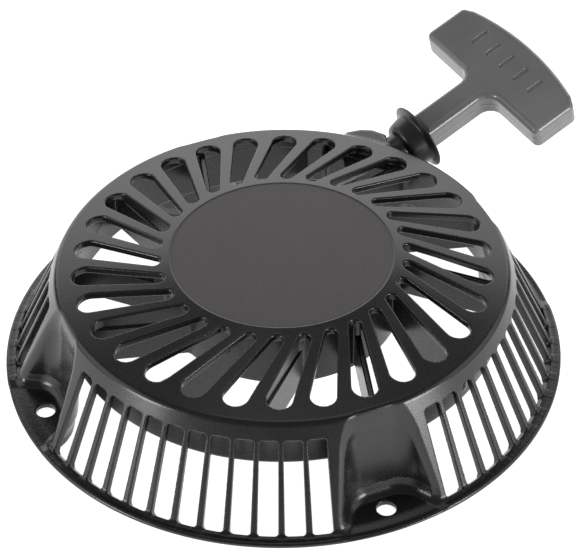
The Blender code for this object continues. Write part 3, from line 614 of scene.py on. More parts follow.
def make_housing(look):
    moved, faces, exact = build_housing()
    quads = np.array(faces)
    pairs = np.concatenate([quads[:, [0, 1]], quads[:, [1, 2]], quads[:, [2, 3]], quads[:, [3, 0]]])
    pairs.sort(axis=1)
    keys, counts = np.unique(pairs[:, 0].astype(np.int64) * 10 ** 7 + pairs[:, 1], return_counts=True)
    open_keys = keys[counts == 1]
    loose = np.unique(np.concatenate([open_keys // 10 ** 7, open_keys % 10 ** 7]))
    middle = PLATE_TOP - LABEL_DEPTH - WALL / 2
    points = [tuple(p) for p in moved]
    upper = ring_order(points, [i for i in loose if points[i][2] > middle])
    lower = ring_order(points, [i for i in loose if points[i][2] <= middle])
    count = len(upper) // 6
    top = PLATE_TOP - LABEL_DEPTH
    ceiling = top - WALL
    fill_centre(points, faces, upper, [(42.5, top), (28.0, top), (12.0, top), (0.0, top)], count, False)
    post = arc((POST_RADIUS + 1.5, ceiling - 1.5), 1.5, math.pi / 2, math.pi, 4)
    foot = arc((POST_RADIUS - 0.6, POST_END + 0.6), 0.6, 0.0, -math.pi / 2, 3)
    profile = [(42.5, ceiling), (28.0, ceiling), *post, (POST_RADIUS, 34.0), *foot,
               (3.1, POST_END), (2.6, POST_END + 0.5), (2.6, 38.0), (0.0, 39.2)]
    fill_centre(points, faces, lower, profile, count, True)
    item = mesh_object("cover_casting", np.array(points) * MM, faces, look)
    chosen = flat_points(moved, quads)
    chosen = chosen[length2(moved[chosen, 0], moved[chosen, 1]) > CENTRE_RADIUS + 2.0]
    group = item.vertex_groups.new(name="thinned")
    group.add([int(i) for i in chosen], 1.0, "REPLACE")
    thin = item.modifiers.new("thin", "DECIMATE")
    thin.ratio = HOUSING_KEEP
    thin.vertex_group = group.name
    apply_modifiers(item)
    item.vertex_groups.clear()
    item.data.shade_smooth()
    exact_normals(item, exact, lambda p: length2(p[:, 0], p[:, 1]) > CENTRE_RADIUS + 1.0)
    return item


def skinned(name, points, quads, field, look, place, keep):
    """The object on a field's settled points, thinned to a share of its faces."""
    item = mesh_object(name, points * MM, quads, look)
    if place is not None:
        item.matrix_world = place
    if keep is not None:
        item.modifiers.new("thin", "DECIMATE").ratio = keep
        apply_modifiers(item)
    item.data.shade_smooth()
    exact_normals(item, field)
    return item


def sampled(name, field, low, high, spacing, look, place=None, keep=None):
    """A solid from a field over a box in mm, as an object in metres."""
    axes = [spaced(low[axis], (high[axis], spacing)) for axis in range(3)]
    grid = field(axes[0][:, None, None], axes[1][None, :, None], axes[2][None, None, :])
    grid = np.broadcast_to(grid, tuple(len(axis) for axis in axes)).astype(np.float32)
    at, quads = surface_net(grid, False)
    points = np.stack([np.interp(at[:, axis], np.arange(len(stops)), stops)
                       for axis, stops in enumerate(axes)], axis=1)
    return skinned(name, settle(points, field, reach=spacing * 0.5), quads, field, look, place, keep)


def sampled_ring(name, field, stops_r, stops_z, steps, look, keep=None, place=None):
    """A solid from a field in cylindrical coordinates in mm, as an object in metres."""
    angles = np.arange(steps) * math.tau / steps
    radii, heights = spaced(*stops_r), spaced(*stops_z)
    grid = field(radii[None, :, None], angles[:, None, None], heights[None, None, :])
    grid = np.broadcast_to(grid, (steps, len(radii), len(heights))).astype(np.float32)
    at, quads = surface_net(grid, True)
    points = from_turned(at, steps, radii, heights)

    def flat(x, y, z):
        return field(length2(x, y), np.arctan2(y, x) % math.tau, z)

    return skinned(name, settle(points, flat), quads, flat, look, place, keep)


def lathe(name, profile, segments, look, place=None, closed=True, sharp=40.0):
    """Turn (radius, height) points in mm about Z."""
    points, faces = [], []
    rows = []
    for radius, height in profile:
        if radius <= 0.0:
            points.append((0.0, 0.0, height))
            rows.append([len(points) - 1] * segments)
        else:
            rows.append(add_ring(points, radius, height, segments))
    pairs = list(zip(rows, rows[1:])) + ([(rows[-1], rows[0])] if closed else [])
    for lower, upper in pairs:
        for index in range(segments):
            following = (index + 1) % segments
            face = list(dict.fromkeys((lower[index], lower[following], upper[following], upper[index])))
            if len(face) > 2:
                faces.append(face)
    item = mesh_object(name, np.array(points) * MM, faces, look)
    tidy_normals(item)
    item.data.shade_smooth()
    item.data.set_sharp_from_angle(angle=math.radians(sharp))
    if place is not None:
        item.matrix_world = place
    return item


def tidy_normals(item):
    builder = bmesh.new()
    builder.from_mesh(item.data)
    bmesh.ops.recalc_face_normals(builder, faces=builder.faces)
    builder.to_mesh(item.data)
    builder.free()


def smoothed(points, rounds=1, closed=False):
    """Cut the corners of a line of points, ends kept."""
    for _ in range(rounds):
        out = [] if closed else [points[0]]
        pairs = list(zip(points, points[1:])) + ([(points[-1], points[0])] if closed else [])
        for a, b in pairs:
            out.append(tuple(p * 0.75 + q * 0.25 for p, q in zip(a, b)))
            out.append(tuple(p * 0.25 + q * 0.75 for p, q in zip(a, b)))
        if not closed:
            out.append(points[-1])
        points = out
    return points


def sweep(name, path, section, look, closed=False, sharp=None):
    """Carry a section along a path in mm. section(k) gives (across, up) points at step k."""
    path = [Vector(p) for p in path]
    count = len(path)
    normal = None
    rows, points, faces = [], [], []
    for index, here in enumerate(path):
        before = path[index - 1] if index or closed else here
        after = path[(index + 1) % count] if index < count - 1 or closed else here
        heading = (after - before).normalized()
        if normal is None:
            spare = Vector((0.0, 0.0, 1.0)) if abs(heading.z) < 0.9 else Vector((1.0, 0.0, 0.0))
            normal = (spare - heading * spare.dot(heading)).normalized()
        normal = (normal - heading * normal.dot(heading)).normalized()
        side = heading.cross(normal)
        ring = section(index)
        rows.append(range(len(points), len(points) + len(ring)))
        points += [here + side * a + normal * b for a, b in ring]
    around = len(rows[0])
    pairs = list(zip(rows, rows[1:])) + ([(rows[-1], rows[0])] if closed else [])
    for first, second in pairs:
        for k in range(around):
            following = (k + 1) % around
            faces.append((first[k], first[following], second[following], second[k]))
    if not closed:
        faces.append(tuple(reversed(rows[0])))
        faces.append(tuple(rows[-1]))
    item = mesh_object(name, np.array([tuple(p) for p in points]) * MM, faces, look)
    tidy_normals(item)
    item.data.shade_smooth()
    if sharp is not None:
        item.data.set_sharp_from_angle(angle=math.radians(sharp))
    return item


def resample(path, spacing):
    """Points a set distance apart along a path."""
    path = np.array([tuple(p) for p in path])
    lengths = np.concatenate([[0.0], np.cumsum(np.sqrt((np.diff(path, axis=0) ** 2).sum(1)))])
    count = max(2, int(round(lengths[-1] / spacing)))
    at = np.linspace(0.0, lengths[-1], count + 1)
    return [tuple(np.interp(s, lengths, path[:, axis]) for axis in range(3)) for s in at], at


def wire(name, path, radius, look, around=14, closed=False):
    ring = [(radius * math.cos(math.tau * k / around), radius * math.sin(math.tau * k / around))
            for k in range(around)]
    return sweep(name, path, lambda index: ring, look, closed)


ROPE_PITCH = 7.0
ROPE_STRANDS = 4


def rope(name, path, phases, look, radius=ROPE_RADIUS, around=28, closed=False):
    """A braided cord: strands cross over each other in both directions."""
    def section(index):
        ring = []
        for k in range(around):
            angle = math.tau * k / around
            left = math.cos(ROPE_STRANDS * angle + math.tau * phases[index])
            right = math.cos(ROPE_STRANDS * angle - math.tau * phases[index])
            swell = radius * (0.925 + 0.075 * max(left, right))
            ring.append((swell * math.cos(angle), swell * math.sin(angle)))
        return ring
    return sweep(name, path, section, look, closed)


# ------------------------------------------------------------------ pieces

def round_box(u, v, half_u, half_v, corner):
    a, b = np.abs(u) - half_u + corner, np.abs(v) - half_v + corner
    return length2(np.maximum(a, 0.0), np.maximum(b, 0.0)) + np.minimum(np.maximum(a, b), 0.0) - corner


HANDLE_THICKNESS = 14.0
BAR_HALF = 40.0
BAR_NEAR = 35.5
BAR_FAR = 65.5
BAR_FAR_AT_ENDS = 59.35
STEM_HALF = 7.0
STEM_FILLET = 6.6
STEM_START = 0.4
INSERT_FACE = 46.8             # of the washer that the knot bears on, from the eyelet's mouth


def handle_outline():
    corner = 3.3
    rise = BAR_FAR - BAR_FAR_AT_ENDS
    crown = (BAR_HALF ** 2 + rise ** 2) / (2 * rise)
    spread = math.asin((BAR_HALF - corner) / crown)
    half = [(STEM_HALF, STEM_START)]
    half += arc((STEM_HALF + STEM_FILLET, BAR_NEAR - STEM_FILLET), STEM_FILLET, math.pi, math.pi / 2, 16)
    half += arc((BAR_HALF - corner, BAR_NEAR + corner), corner, -math.pi / 2, 0.0, 10)
    half += arc((BAR_HALF - corner, BAR_FAR_AT_ENDS - corner), corner, 0.0, math.pi / 2 - spread, 10)
    half += arc((0.0, BAR_FAR - crown), crown, math.pi / 2 - spread, math.pi / 2, 16)[1:]
    return half + [(-x, y) for x, y in reversed(half[:-1])]


BAR_MARKS = (-20.0, -10.0, 0.0, 10.0, 20.0)


def handle_field(x, y, z):
    plan = polygon(x + 0.0 * y, y + 0.0 * x, handle_outline()) + 0.0 * z
    half = HANDLE_THICKNESS / 2
    crown = 0.25 * np.clip((np.abs(x) - 20.0) / 22.0, 0.0, 1.0) ** 2
    body = meet(plan - 0.10 * np.exp(-(z / 0.45) ** 2), np.abs(z) - half + crown, 2.9)
    pocket = meet(meet(round_box(x, z, 9.0, 4.3, 1.2), 45.0 - y, 0.8), y - 80.0, 0.5)
    body = meet(body, -pocket, 0.7)
    bore = length2(x, z) - ROPE_RADIUS - 0.6
    body = meet(body, -np.maximum(bore, y - 47.0), 0.5)
    for at in BAR_MARKS:
        mark = round_box(x - at, y - 52.0, 1.1, 4.6, 1.05)
        body = meet(body, -np.maximum(mark, half - crown - 0.55 - z), 0.22)
    return body


def make_handle(look):
    spacing = 0.42
    return sampled("pull_grip", handle_field, (-43.5, -0.4, -8.0), (43.5, 67.2, 8.0), spacing, look,
                   pull_place(), keep=0.30)


def turned_place():
    """Matrix for a piece turned about the pull, with its Z along it."""
    return pull_place() @ Matrix.Rotation(-math.pi / 2, 4, "X")


def make_eyelet(look):
    profile = [(4.4, -1.2), (5.2, -0.35), (6.2, 0.0), (8.0, -0.02), (11.0, -0.15), (14.0, -0.40),
               (15.2, -0.55), (15.68, -0.85), (15.80, -1.20), (15.62, -1.55), (14.9, -1.85), (13.6, -2.15),
               (12.7, -2.55), (12.35, -3.2), (12.1, -4.4), (11.8, -6.0), (11.45, -7.6), (11.1, -9.0),
               (10.75, -9.9), (10.1, -10.6), (9.2, -10.95), (8.05, -11.25), (7.98, -12.0), (7.98, -19.4),
               (7.70, -20.1), (7.20, -20.38), (5.0, -20.38), (3.9, -20.0), (3.25, -18.9), (3.2, -17.0),
               (3.2, -5.0), (3.4, -3.2), (3.8, -2.1)]
    return lathe("rope_guide", smoothed(profile, 2, closed=True), 144, look, turned_place(), sharp=60.0)


def torus_knot(length, width, depth, count=220):
    """A pulled-down knot: a trefoil squeezed into a box."""
    path = []
    for index in range(count):
        t = math.tau * index / count
        path.append((math.sin(t) + 2.0 * math.sin(2 * t), math.cos(t) - 2.0 * math.cos(2 * t),
                     -math.sin(3 * t)))
    path = np.array(path)
    half = np.abs(path).max(0)
    return path / half * np.array([width, depth, length])


def make_knot(name, length, width, depth, strand, look, place):
    """A stopper knot of one thickness of strand that fills a box of these half sizes, in mm."""
    path = torus_knot(length - strand, width - strand, depth - strand)
    knot = rope(name, path, np.arange(len(path)) * 8.0 / len(path), look, strand, 18, closed=True)
    knot.matrix_world = place
    return knot


def make_handle_knot(look):
    half = 5.2
    place = pull_place() @ Matrix.Translation((0.0, (INSERT_FACE + 0.3 + half) * MM, 0.0))
    return make_knot("handle_stopper_knot", 3.7, 5.8, half, 1.75, look, place)


def make_reel_knot(look):
    at = Vector((KNOT_RADIUS * math.cos(KNOT_ANGLE), KNOT_RADIUS * math.sin(KNOT_ANGLE), 21.6))
    knot = make_knot("reel_stopper_knot", 4.2, 4.2, 4.2, 1.35, look, Matrix.Translation(at * MM))
    tail = [(at.x, at.y, z) for z in np.linspace(23.5, 29.4, 24)]
    return knot, rope("reel_knot_tail", tail, np.arange(24) * 0.05, look, 2.0, 20)


def make_rope_lead(look):
    """The rope in the eyelet and the handle. Its hidden stretch carries the braid that shows when pulled."""
    start, end, mouth, pull = -15.0, INSERT_FACE, 0.3, 900.0
    hidden = np.linspace(start, mouth, 900)
    share = (hidden - start) / (mouth - start)
    drawn = hidden + pull * share * share * (3.0 - 2.0 * share)
    rest = np.linspace(mouth, end, 140)[1:]
    along = np.concatenate([hidden, rest])
    phases = np.concatenate([drawn, rest + pull]) / ROPE_PITCH
    forward = pull_axes()[1]
    path = [EYELET_MOUTH + forward * float(s) for s in along]
    cord = rope("rope_lead_cord", path, phases, look, around=20)
    low, high = EYELET_MOUTH + forward * start, EYELET_MOUTH + forward * mouth
    return cord, low * MM, high * MM


def make_rope_run(look):
    """The rope from its outermost turn on the reel to the eyelet."""
    leave, _, angle = rope_route()
    forward = pull_axes()[1]
    meet_at = EYELET_MOUTH + forward * -15.3
    inside = EYELET_MOUTH + forward * -19.0
    wrap = math.radians(290.0)
    path = [(WINDING_RADIUS * math.cos(angle + wrap * (1 - k / 120)),
             WINDING_RADIUS * math.sin(angle + wrap * (1 - k / 120)), WINDING_HEIGHT) for k in range(120)]
    path += [tuple(leave.lerp(inside, k / 20)) for k in range(20)]
    path += [tuple(inside), tuple(meet_at)]
    path, at = resample(path, 0.7)
    return rope("rope_run_cord", path, at / ROPE_PITCH, look, around=24)


def make_winding(look):
    """The turns of rope that are left in the groove, laid side by side in two layers."""
    foot, head, radius = 32.1, 36.9, 2.2
    turns = [(38.9, foot), (38.9, head), (35.15, foot), (35.15, 34.5), (35.15, head)]
    count = 330
    pieces = []
    for number, (middle, level) in enumerate(turns):
        path = [(middle * math.cos(math.tau * k / count), middle * math.sin(math.tau * k / count), level)
                for k in range(count)]
        laps = round(math.tau * middle / ROPE_PITCH)
        phases = np.arange(count) * laps / count
        pieces.append(rope(f"winding_turn_{number + 1}", path, phases, look, radius, 18, closed=True))
    return pieces


REEL_OUTLINE = [
    (9.3, 20.5), (12.5, 20.5), (12.5, 26.5), (46.6, 26.5), (46.6, 28.9), (32.5, 29.5), (32.5, 39.5),
    (46.6, 40.1), (46.6, 42.0), (32.5, 42.0), (32.5, 46.0), (29.7, 46.0), (29.7, 32.5), (9.3, 32.5)]
PAWL_PIVOT = 24.0
PAWL_HEADING = math.radians(-105.0)   # from its pivot, folded in
PEG_REACH = 9.0
KNOT_ANGLE = math.radians(60.0)
KNOT_RADIUS = 40.0


def reel_field(radius, angle, height):
    body = polygon(radius + 0.0 * height, height + 0.0 * radius, REEL_OUTLINE) + 0.0 * angle
    inner = polygon(radius + 0.0 * height, height + 0.0 * radius, REEL_OUTLINE) + 0.35
    body = np.where(body > -0.35, np.maximum(body, inner - 0.35), body)
    half_turn = (angle + math.pi / 2) % math.pi - math.pi / 2
    px, py = radius * np.cos(half_turn), radius * np.sin(half_turn)
    eye = length2(px - PAWL_PIVOT, py) + 0.0 * height
    # Shallow pans between ribs under the flange lighten the moulding.
    sector = nearest(angle, math.radians(15.0), 12)
    rib = np.abs(radius * np.sin(sector)) - 0.9
    pan = np.maximum(np.maximum(34.0 - radius, radius - 44.6), np.maximum(-rib, height - 27.3))
    knot = length2(radius * np.cos(angle) - KNOT_RADIUS * math.cos(KNOT_ANGLE),
                   radius * np.sin(angle) - KNOT_RADIUS * math.sin(KNOT_ANGLE)) + 0.0 * height
    pan = np.maximum(pan, 5.5 - knot)
    body = meet(body, -pan, 0.3)
    body = meet(body, -np.maximum(eye - 6.2, height - 29.7), 0.35)
    pin = meet(np.maximum(eye - 3.0, height - 31.0), 19.0 - height, 0.5)
    body = np.minimum(body, pin)
    return meet(body, -(knot - 2.7), 0.3)


def make_reel(look):
    return sampled_ring("rope_reel", reel_field, (8.6, (14.0, 0.5), (47.2, 0.52)),
                        (18.4, (46.6, 0.46)), 660, look, keep=0.45)


def pawl_outline(heading):
    along = Vector((math.cos(heading), math.sin(heading)))
    outward = Vector((-along.y, along.x))
    points = arc((0.0, 0.0), 5.5, heading + math.radians(55.0), heading + math.radians(305.0), 28)
    for reach, offset in ((10.0, -4.0), (16.0, -3.2), (20.0, -1.2), (19.6, 3.0), (15.0, 3.0), (10.0, 3.6)):
        point = along * reach + outward * offset
        points.append((point.x, point.y))
    return points


def pawl_place(turn):
    return Matrix.Rotation(turn, 4, "Z") @ Matrix.Translation((PAWL_PIVOT * MM, 0.0, 0.0))


def make_pawl(letter, turn, look):
    outline = pawl_outline(PAWL_HEADING)
    peg = (PEG_REACH * math.cos(PAWL_HEADING), PEG_REACH * math.sin(PAWL_HEADING))

    def field(x, y, z):
        plan = polygon(x + 0.0 * y, y + 0.0 * x, outline) + 0.0 * z
        body = meet(meet(plan, z - 25.5, 0.5), 19.3 - z, 0.5)
        stud = meet(np.maximum(length2(x - peg[0], y - peg[1]) - 2.0, z - 20.3), 15.5 - z, 0.35)
        return meet(np.minimum(body, stud), -(length2(x, y) - 3.3) - 0.0 * z, 0.4)

    return sampled("pawl_" + letter + "_steel", field, (-13.0, -22.5, 14.8), (8.0, 7.0, 26.2),
                   0.3, look, pawl_place(turn), keep=0.4)


def make_pawl_spring(letter, turn, look):
    radius, foot, pitch, laps = 4.3, 26.3, 1.1, 2.25
    start = PAWL_HEADING + math.radians(70.0)
    leg = (4.4 * math.cos(PAWL_HEADING), 4.4 * math.sin(PAWL_HEADING))
    path = [(leg[0] + radius * math.cos(start), leg[1] + radius * math.sin(start), 26.1)]
    count = 120
    for index in range(count + 1):
        here = start - math.tau * laps * index / count
        rise = foot + 0.35 + pitch * laps * index / count
        path.append((radius * math.cos(here), radius * math.sin(here), rise))
    item = wire("pawl_coil_" + letter, path, 0.35, look, 10)
    item.matrix_world = pawl_place(turn)
    return item


def make_friction_spring(look):
    radius, foot, head, laps = 7.5, 13.1, 15.7, 2.5
    count = 160
    path = [(radius * math.cos(math.tau * laps * k / count), radius * math.sin(math.tau * laps * k / count),
             foot + (head - foot) * k / count) for k in range(count + 1)]
    return wire("drag_coil", path, 0.5, look, 12)


def make_recoil_spring(look):
    """The strip that winds the reel back, from the post's slit to the wall of its well."""
    laps, per_lap, crowding = 7, 90, 0.45
    inner, outer = POST_RADIUS + 1.6, 29.7 - 0.9
    path = [(5.8, 0.0), (POST_RADIUS + 0.2, 0.0), (inner - 0.2, 0.6)]
    count = laps * per_lap
    for index in range(8, count + 1):
        share = index / count
        part = share ** crowding if share > 0.2 else (0.2 ** crowding) * (share / 0.2)
        radius = inner + (outer - inner) * part
        path.append((radius * math.cos(math.tau * laps * share), radius * math.sin(math.tau * laps * share)))
    foot, head = 33.1, 44.0
    middle, half = (foot + head) / 2, (head - foot) / 2
    ring = [(-0.3, -half + 0.12), (-0.18, -half), (0.18, -half), (0.3, -half + 0.12),
            (0.3, half - 0.12), (0.18, half), (-0.18, half), (-0.3, half - 0.12)]
    return sweep("recoil_strip", [(x, y, middle) for x, y in path], lambda index: ring, look, sharp=40.0)


PLATE_LAG = math.radians(25.0)
PAWL_SWING = math.radians(35.0)


def cam_path():
    """The way the peg of pawl a takes over the cam plate."""
    path = []
    for step in range(-1, 26):
        part = min(max(step / 24, -0.04), 1.04)
        heading = PAWL_HEADING + PAWL_SWING * part
        x, y = PAWL_PIVOT + PEG_REACH * math.cos(heading), PEG_REACH * math.sin(heading)
        turn = -PLATE_LAG * part
        path.append((x * math.cos(turn) - y * math.sin(turn), x * math.sin(turn) + y * math.cos(turn)))
    return path


def cam_field(radius, angle, height):
    flat = meet(meet(radius - 33.0, 6.3 - radius, 0.3), np.abs(height - 17.4) - 0.9, 0.3) + 0.0 * angle
    half_turn = (angle + math.pi / 2) % math.pi - math.pi / 2
    slot = None
    for shift in (0.0, math.pi, -math.pi):
        px, py = radius * np.cos(half_turn + shift), radius * np.sin(half_turn + shift)
        part = polyline(px, py, cam_path()[1:-1]) - 2.5
        slot = part if slot is None else np.minimum(slot, part)
    return meet(flat, -slot - 0.0 * height, 0.3)


def make_cam_plate(look):
    return sampled_ring("cam_disc", cam_field, (5.8, (33.6, 0.5)), (16.1, (18.7, 0.32)),
                        540, look, keep=0.35)


def screw_field(x, y, z):
    off = length2(x, y)
    flange = meet(meet(off - 9.2, 10.2 - z, 0.3), z - 11.0, 0.2)
    shoulder = meet(np.maximum(off - 5.9, 10.5 - z), z - 19.7, 0.3)
    groove = 0.25 * (1.0 + np.cos(math.tau * (z - np.arctan2(y, x) / math.tau * 1.0)))
    shank = np.maximum(off - 2.3 + groove, np.maximum(19.0 - z, z - 36.0))
    hexagon = None
    for k in range(6):
        side = x * math.cos(math.pi * (2 * k + 1) / 6) + y * math.sin(math.pi * (2 * k + 1) / 6) - 6.495
        hexagon = side if hexagon is None else np.maximum(hexagon, side)
    chamfer = (off - 6.6 + (7.0 - z) * 1.7) / 1.97
    head = np.maximum(np.maximum(hexagon, chamfer), np.maximum(7.0 - z, z - 10.6))
    return np.minimum(np.minimum(flange, head), np.minimum(shoulder, shank)) + 0.0 * x


def make_screw(look):
    return sampled("shoulder_screw", screw_field, (-9.8, -9.8, 6.5), (9.8, 9.8, 36.6),
                   0.27, look, keep=0.4)


def make_washer(look):
    profile = [(6.5, 11.3), (9.6, 11.3), (9.8, 11.5), (9.8, 12.1),
               (9.6, 12.3), (6.5, 12.3), (6.3, 12.1), (6.3, 11.5)]
    return lathe("thrust_washer", profile, 96, look)


def make_keeper(look):
    profile = [(11.7, 44.4), (29.1, 44.4), (29.4, 44.6), (29.4, 45.4), (29.1, 45.6), (24.0, 45.6),
               (22.5, 45.3), (15.0, 45.3), (13.5, 45.6), (11.7, 45.6), (11.5, 45.4), (11.5, 44.6)]
    return lathe("spring_cover_disc", profile, 160, look)


def insert_field(x, y, z):
    plate = meet(round_box(x, z, 8.5, 3.9, 1.0), np.abs(y - 46.05) - 0.75, 0.2)
    return meet(plate, -(length2(x, z) - ROPE_RADIUS - 0.4) - 0.0 * y, 0.2)


def make_insert(look):
    return sampled("grip_plate", insert_field, (-9.0, 44.9, -4.4), (9.0, 47.2, 4.4), 0.28, look,
                   pull_place(), keep=0.5)


# ------------------------------------------------------------------ materials

def node(tree, kind, inputs=None, **settings):
    item = tree.nodes.new(kind)
    for key, value in settings.items():
        setattr(item, key, value)
    for key, value in (inputs or {}).items():
        if isinstance(value, bpy.types.NodeSocket):
            tree.links.new(value, item.inputs[key])
        else:
            item.inputs[key].default_value = value
    return item


def sums(tree, operation, *values):
    return node(tree, "ShaderNodeMath", dict(enumerate(values)), operation=operation).outputs[0]


def ramp(tree, factor, stops):
    item = node(tree, "ShaderNodeValToRGB", {"Fac": factor})
    elements = item.color_ramp.elements
    while len(elements) < len(stops):
        elements.new(0.5)
    for element, (place, colour) in zip(elements, stops):
        element.position = place
        element.color = (*colour, 1.0)
    return item.outputs["Color"]


def noise(tree, where, scale, detail=3.0, roughness=0.5):
    return node(tree, "ShaderNodeTexNoise", {"Vector": where, "Scale": scale, "Detail": detail,
                                             "Roughness": roughness}).outputs["Fac"]


def level(tree, factor, low, high):
    return node(tree, "ShaderNodeMapRange", {"Value": factor, "From Min": 0.3, "From Max": 0.7,
                                             "To Min": low, "To Max": high}).outputs["Result"]


def mixed(tree, factor, first, second):
    item = node(tree, "ShaderNodeMix", data_type="RGBA")
    for key, value in ((0, factor), (6, first), (7, second)):
        if isinstance(value, bpy.types.NodeSocket):
            tree.links.new(value, item.inputs[key])
        else:
            item.inputs[key].default_value = value if key == 0 else (*value, 1.0)
    return item.outputs[2]


def surface(name, colours, roughness, grain, bump, metallic=0.0, blotch=25.0):
    """A finish with blotches between two colours, a roughness range, and grain with (strength, depth)."""
    look = bpy.data.materials.new(name)
    look.use_nodes = True
    tree = look.node_tree
    shader = tree.nodes["Principled BSDF"]
    where = node(tree, "ShaderNodeTexCoord").outputs["Object"]
    broad = noise(tree, where, blotch, 4.0, 0.6)
    fine = noise(tree, where, grain, 2.0)
    colour = ramp(tree, broad, [(0.32, colours[0]), (0.68, colours[1])])
    tree.links.new(colour, shader.inputs["Base Color"])
    half = sums(tree, "MULTIPLY", sums(tree, "ADD", broad, fine), 0.5)
    tree.links.new(level(tree, half, *roughness), shader.inputs["Roughness"])
    relief = node(tree, "ShaderNodeBump", {"Height": fine, "Strength": bump[0], "Distance": bump[1]})
    tree.links.new(relief.outputs["Normal"], shader.inputs["Normal"])
    shader.inputs["Metallic"].default_value = metallic
    return look, tree, shader, where


def casting_look():
    """Black powder coat: a duller, browner disc in the label's recess, a painted highlight as a thin lighter
    ring along the recess's edge, and coarse grain on the bolt tabs.
    """
    look, tree, shader, where = surface(
        "black_powder_coat", ((0.0085, 0.0082, 0.0078), (0.0125, 0.0120, 0.0113)), (0.22, 0.31), 1500.0,
        (0.055, 0.0001), blotch=30.0)
    split = node(tree, "ShaderNodeSeparateXYZ", {"Vector": where}).outputs
    flat = node(tree, "ShaderNodeCombineXYZ", {"X": split["X"], "Y": split["Y"], "Z": 0.0}).outputs["Vector"]
    reach = node(tree, "ShaderNodeVectorMath", {0: flat}, operation="LENGTH").outputs["Value"]
    raised = sums(tree, "GREATER_THAN", split["Z"], 0.0515)
    disc = sums(tree, "MULTIPLY", sums(tree, "LESS_THAN", reach, 0.0473), raised)
    # Painted highlight: a thin ring along the recess's raised edge gets a lighter colour, standing in for the
    # light caught by that rounded step.
    edge = sums(tree, "MULTIPLY", sums(tree, "COMPARE", reach, 0.0467, 0.0008), raised)
    speck = ramp(tree, noise(tree, where, 900.0, 2.0),
                 [(0.35, (0.036, 0.0312, 0.0300)), (0.65, (0.045, 0.0395, 0.0380))])
    face = mixed(tree, disc, shader.inputs["Base Color"].links[0].from_socket, speck)
    # The painted highlight's colour, lighter than the coat, goes on the ring at the recess's edge.
    tree.links.new(mixed(tree, edge, face, (0.034, 0.031, 0.029)), shader.inputs["Base Color"])
    rough = shader.inputs["Roughness"].links[0].from_socket
    dull = sums(tree, "ADD", rough, sums(tree, "MULTIPLY", disc, 0.20))
    tree.links.new(dull, shader.inputs["Roughness"])
    tab = sums(tree, "LESS_THAN", split["Z"], 0.0042)
    coarse = sums(tree, "MULTIPLY", noise(tree, where, 750.0, 2.0, 0.6), tab)
    relief = node(tree, "ShaderNodeBump", {"Height": coarse, "Strength": 0.22, "Distance": 0.0003,
                                           "Normal": shader.inputs["Normal"].links[0].from_socket})
    tree.links.new(relief.outputs["Normal"], shader.inputs["Normal"])
    return look


def rope_look():
    return surface("braided_cord", ((0.42, 0.41, 0.38), (0.56, 0.55, 0.51)), (0.75, 0.92), 2600.0,
                   (0.35, 0.0002), blotch=260.0)[0]


def metal_look(name, colours, roughness, scale, stretch=1.0, bump=0.05):
    """A bare metal, with its grain drawn out along Z where stretch isn't 1."""
    look, tree, _, where = surface(name, colours, roughness, scale, (bump, 0.0001), metallic=1.0, blotch=60.0)
    if stretch != 1.0:
        drawn = node(tree, "ShaderNodeVectorMath", {0: where, 1: (1.0, 1.0, stretch)}, operation="MULTIPLY")
        for link in list(tree.links):
            if link.to_socket.name == "Vector" and link.to_node.type == "TEX_NOISE" \
                    and link.to_node.inputs["Scale"].default_value == scale:
                tree.links.new(drawn.outputs["Vector"], link.to_socket)
    return look


# ------------------------------------------------------------------ camera, floor and light

def look_from(place, target):
    return (Vector(target) - Vector(place)).to_track_quat("-Z", "Y").to_matrix().to_4x4()


def add_camera():
    lift, distance, roll, turn = math.radians(40.539), 1.048524, math.radians(-0.754), math.radians(22.88)
    centre = Vector((0.0, -math.cos(lift), math.sin(lift))) * distance
    forward = -centre.normalized()
    right = Vector((1.0, 0.0, 0.0))
    up = right.cross(forward)
    tilted_right = math.cos(roll) * right + math.sin(roll) * up
    tilted_up = -math.sin(roll) * right + math.cos(roll) * up
    place = centre + 0.002856 * tilted_right + 0.029988 * tilted_up
    matrix = Matrix((tilted_right, tilted_up, -forward)).transposed().to_4x4()
    matrix.translation = place
    data = bpy.data.cameras.new("camera")
    data.lens = 149.75
    data.sensor_width = 36.0
    data.clip_end = 20.0
    camera = bpy.data.objects.new("camera", data)
    bpy.context.scene.collection.objects.link(camera)
    camera.matrix_world = Matrix.Rotation(turn, 4, "Z") @ matrix
    bpy.context.scene.camera = camera


def add_panel(name, azimuth, lift, distance, size, power):
    """A soft panel that faces the object from a direction measured from the camera's own."""
    turn = math.radians(22.88 - 90.0 + azimuth)
    rise = math.radians(lift)
    heading = Vector((math.cos(turn) * math.cos(rise), math.sin(turn) * math.cos(rise), math.sin(rise)))
    place = heading * distance
    data = bpy.data.lights.new(name, "AREA")
    data.shape = "RECTANGLE"
    data.size, data.size_y = size
    data.energy = power
    item = bpy.data.objects.new(name, data)
    bpy.context.scene.collection.objects.link(item)
    item.matrix_world = Matrix.Translation(place) @ look_from(place, (0.0, 0.0, 0.02))


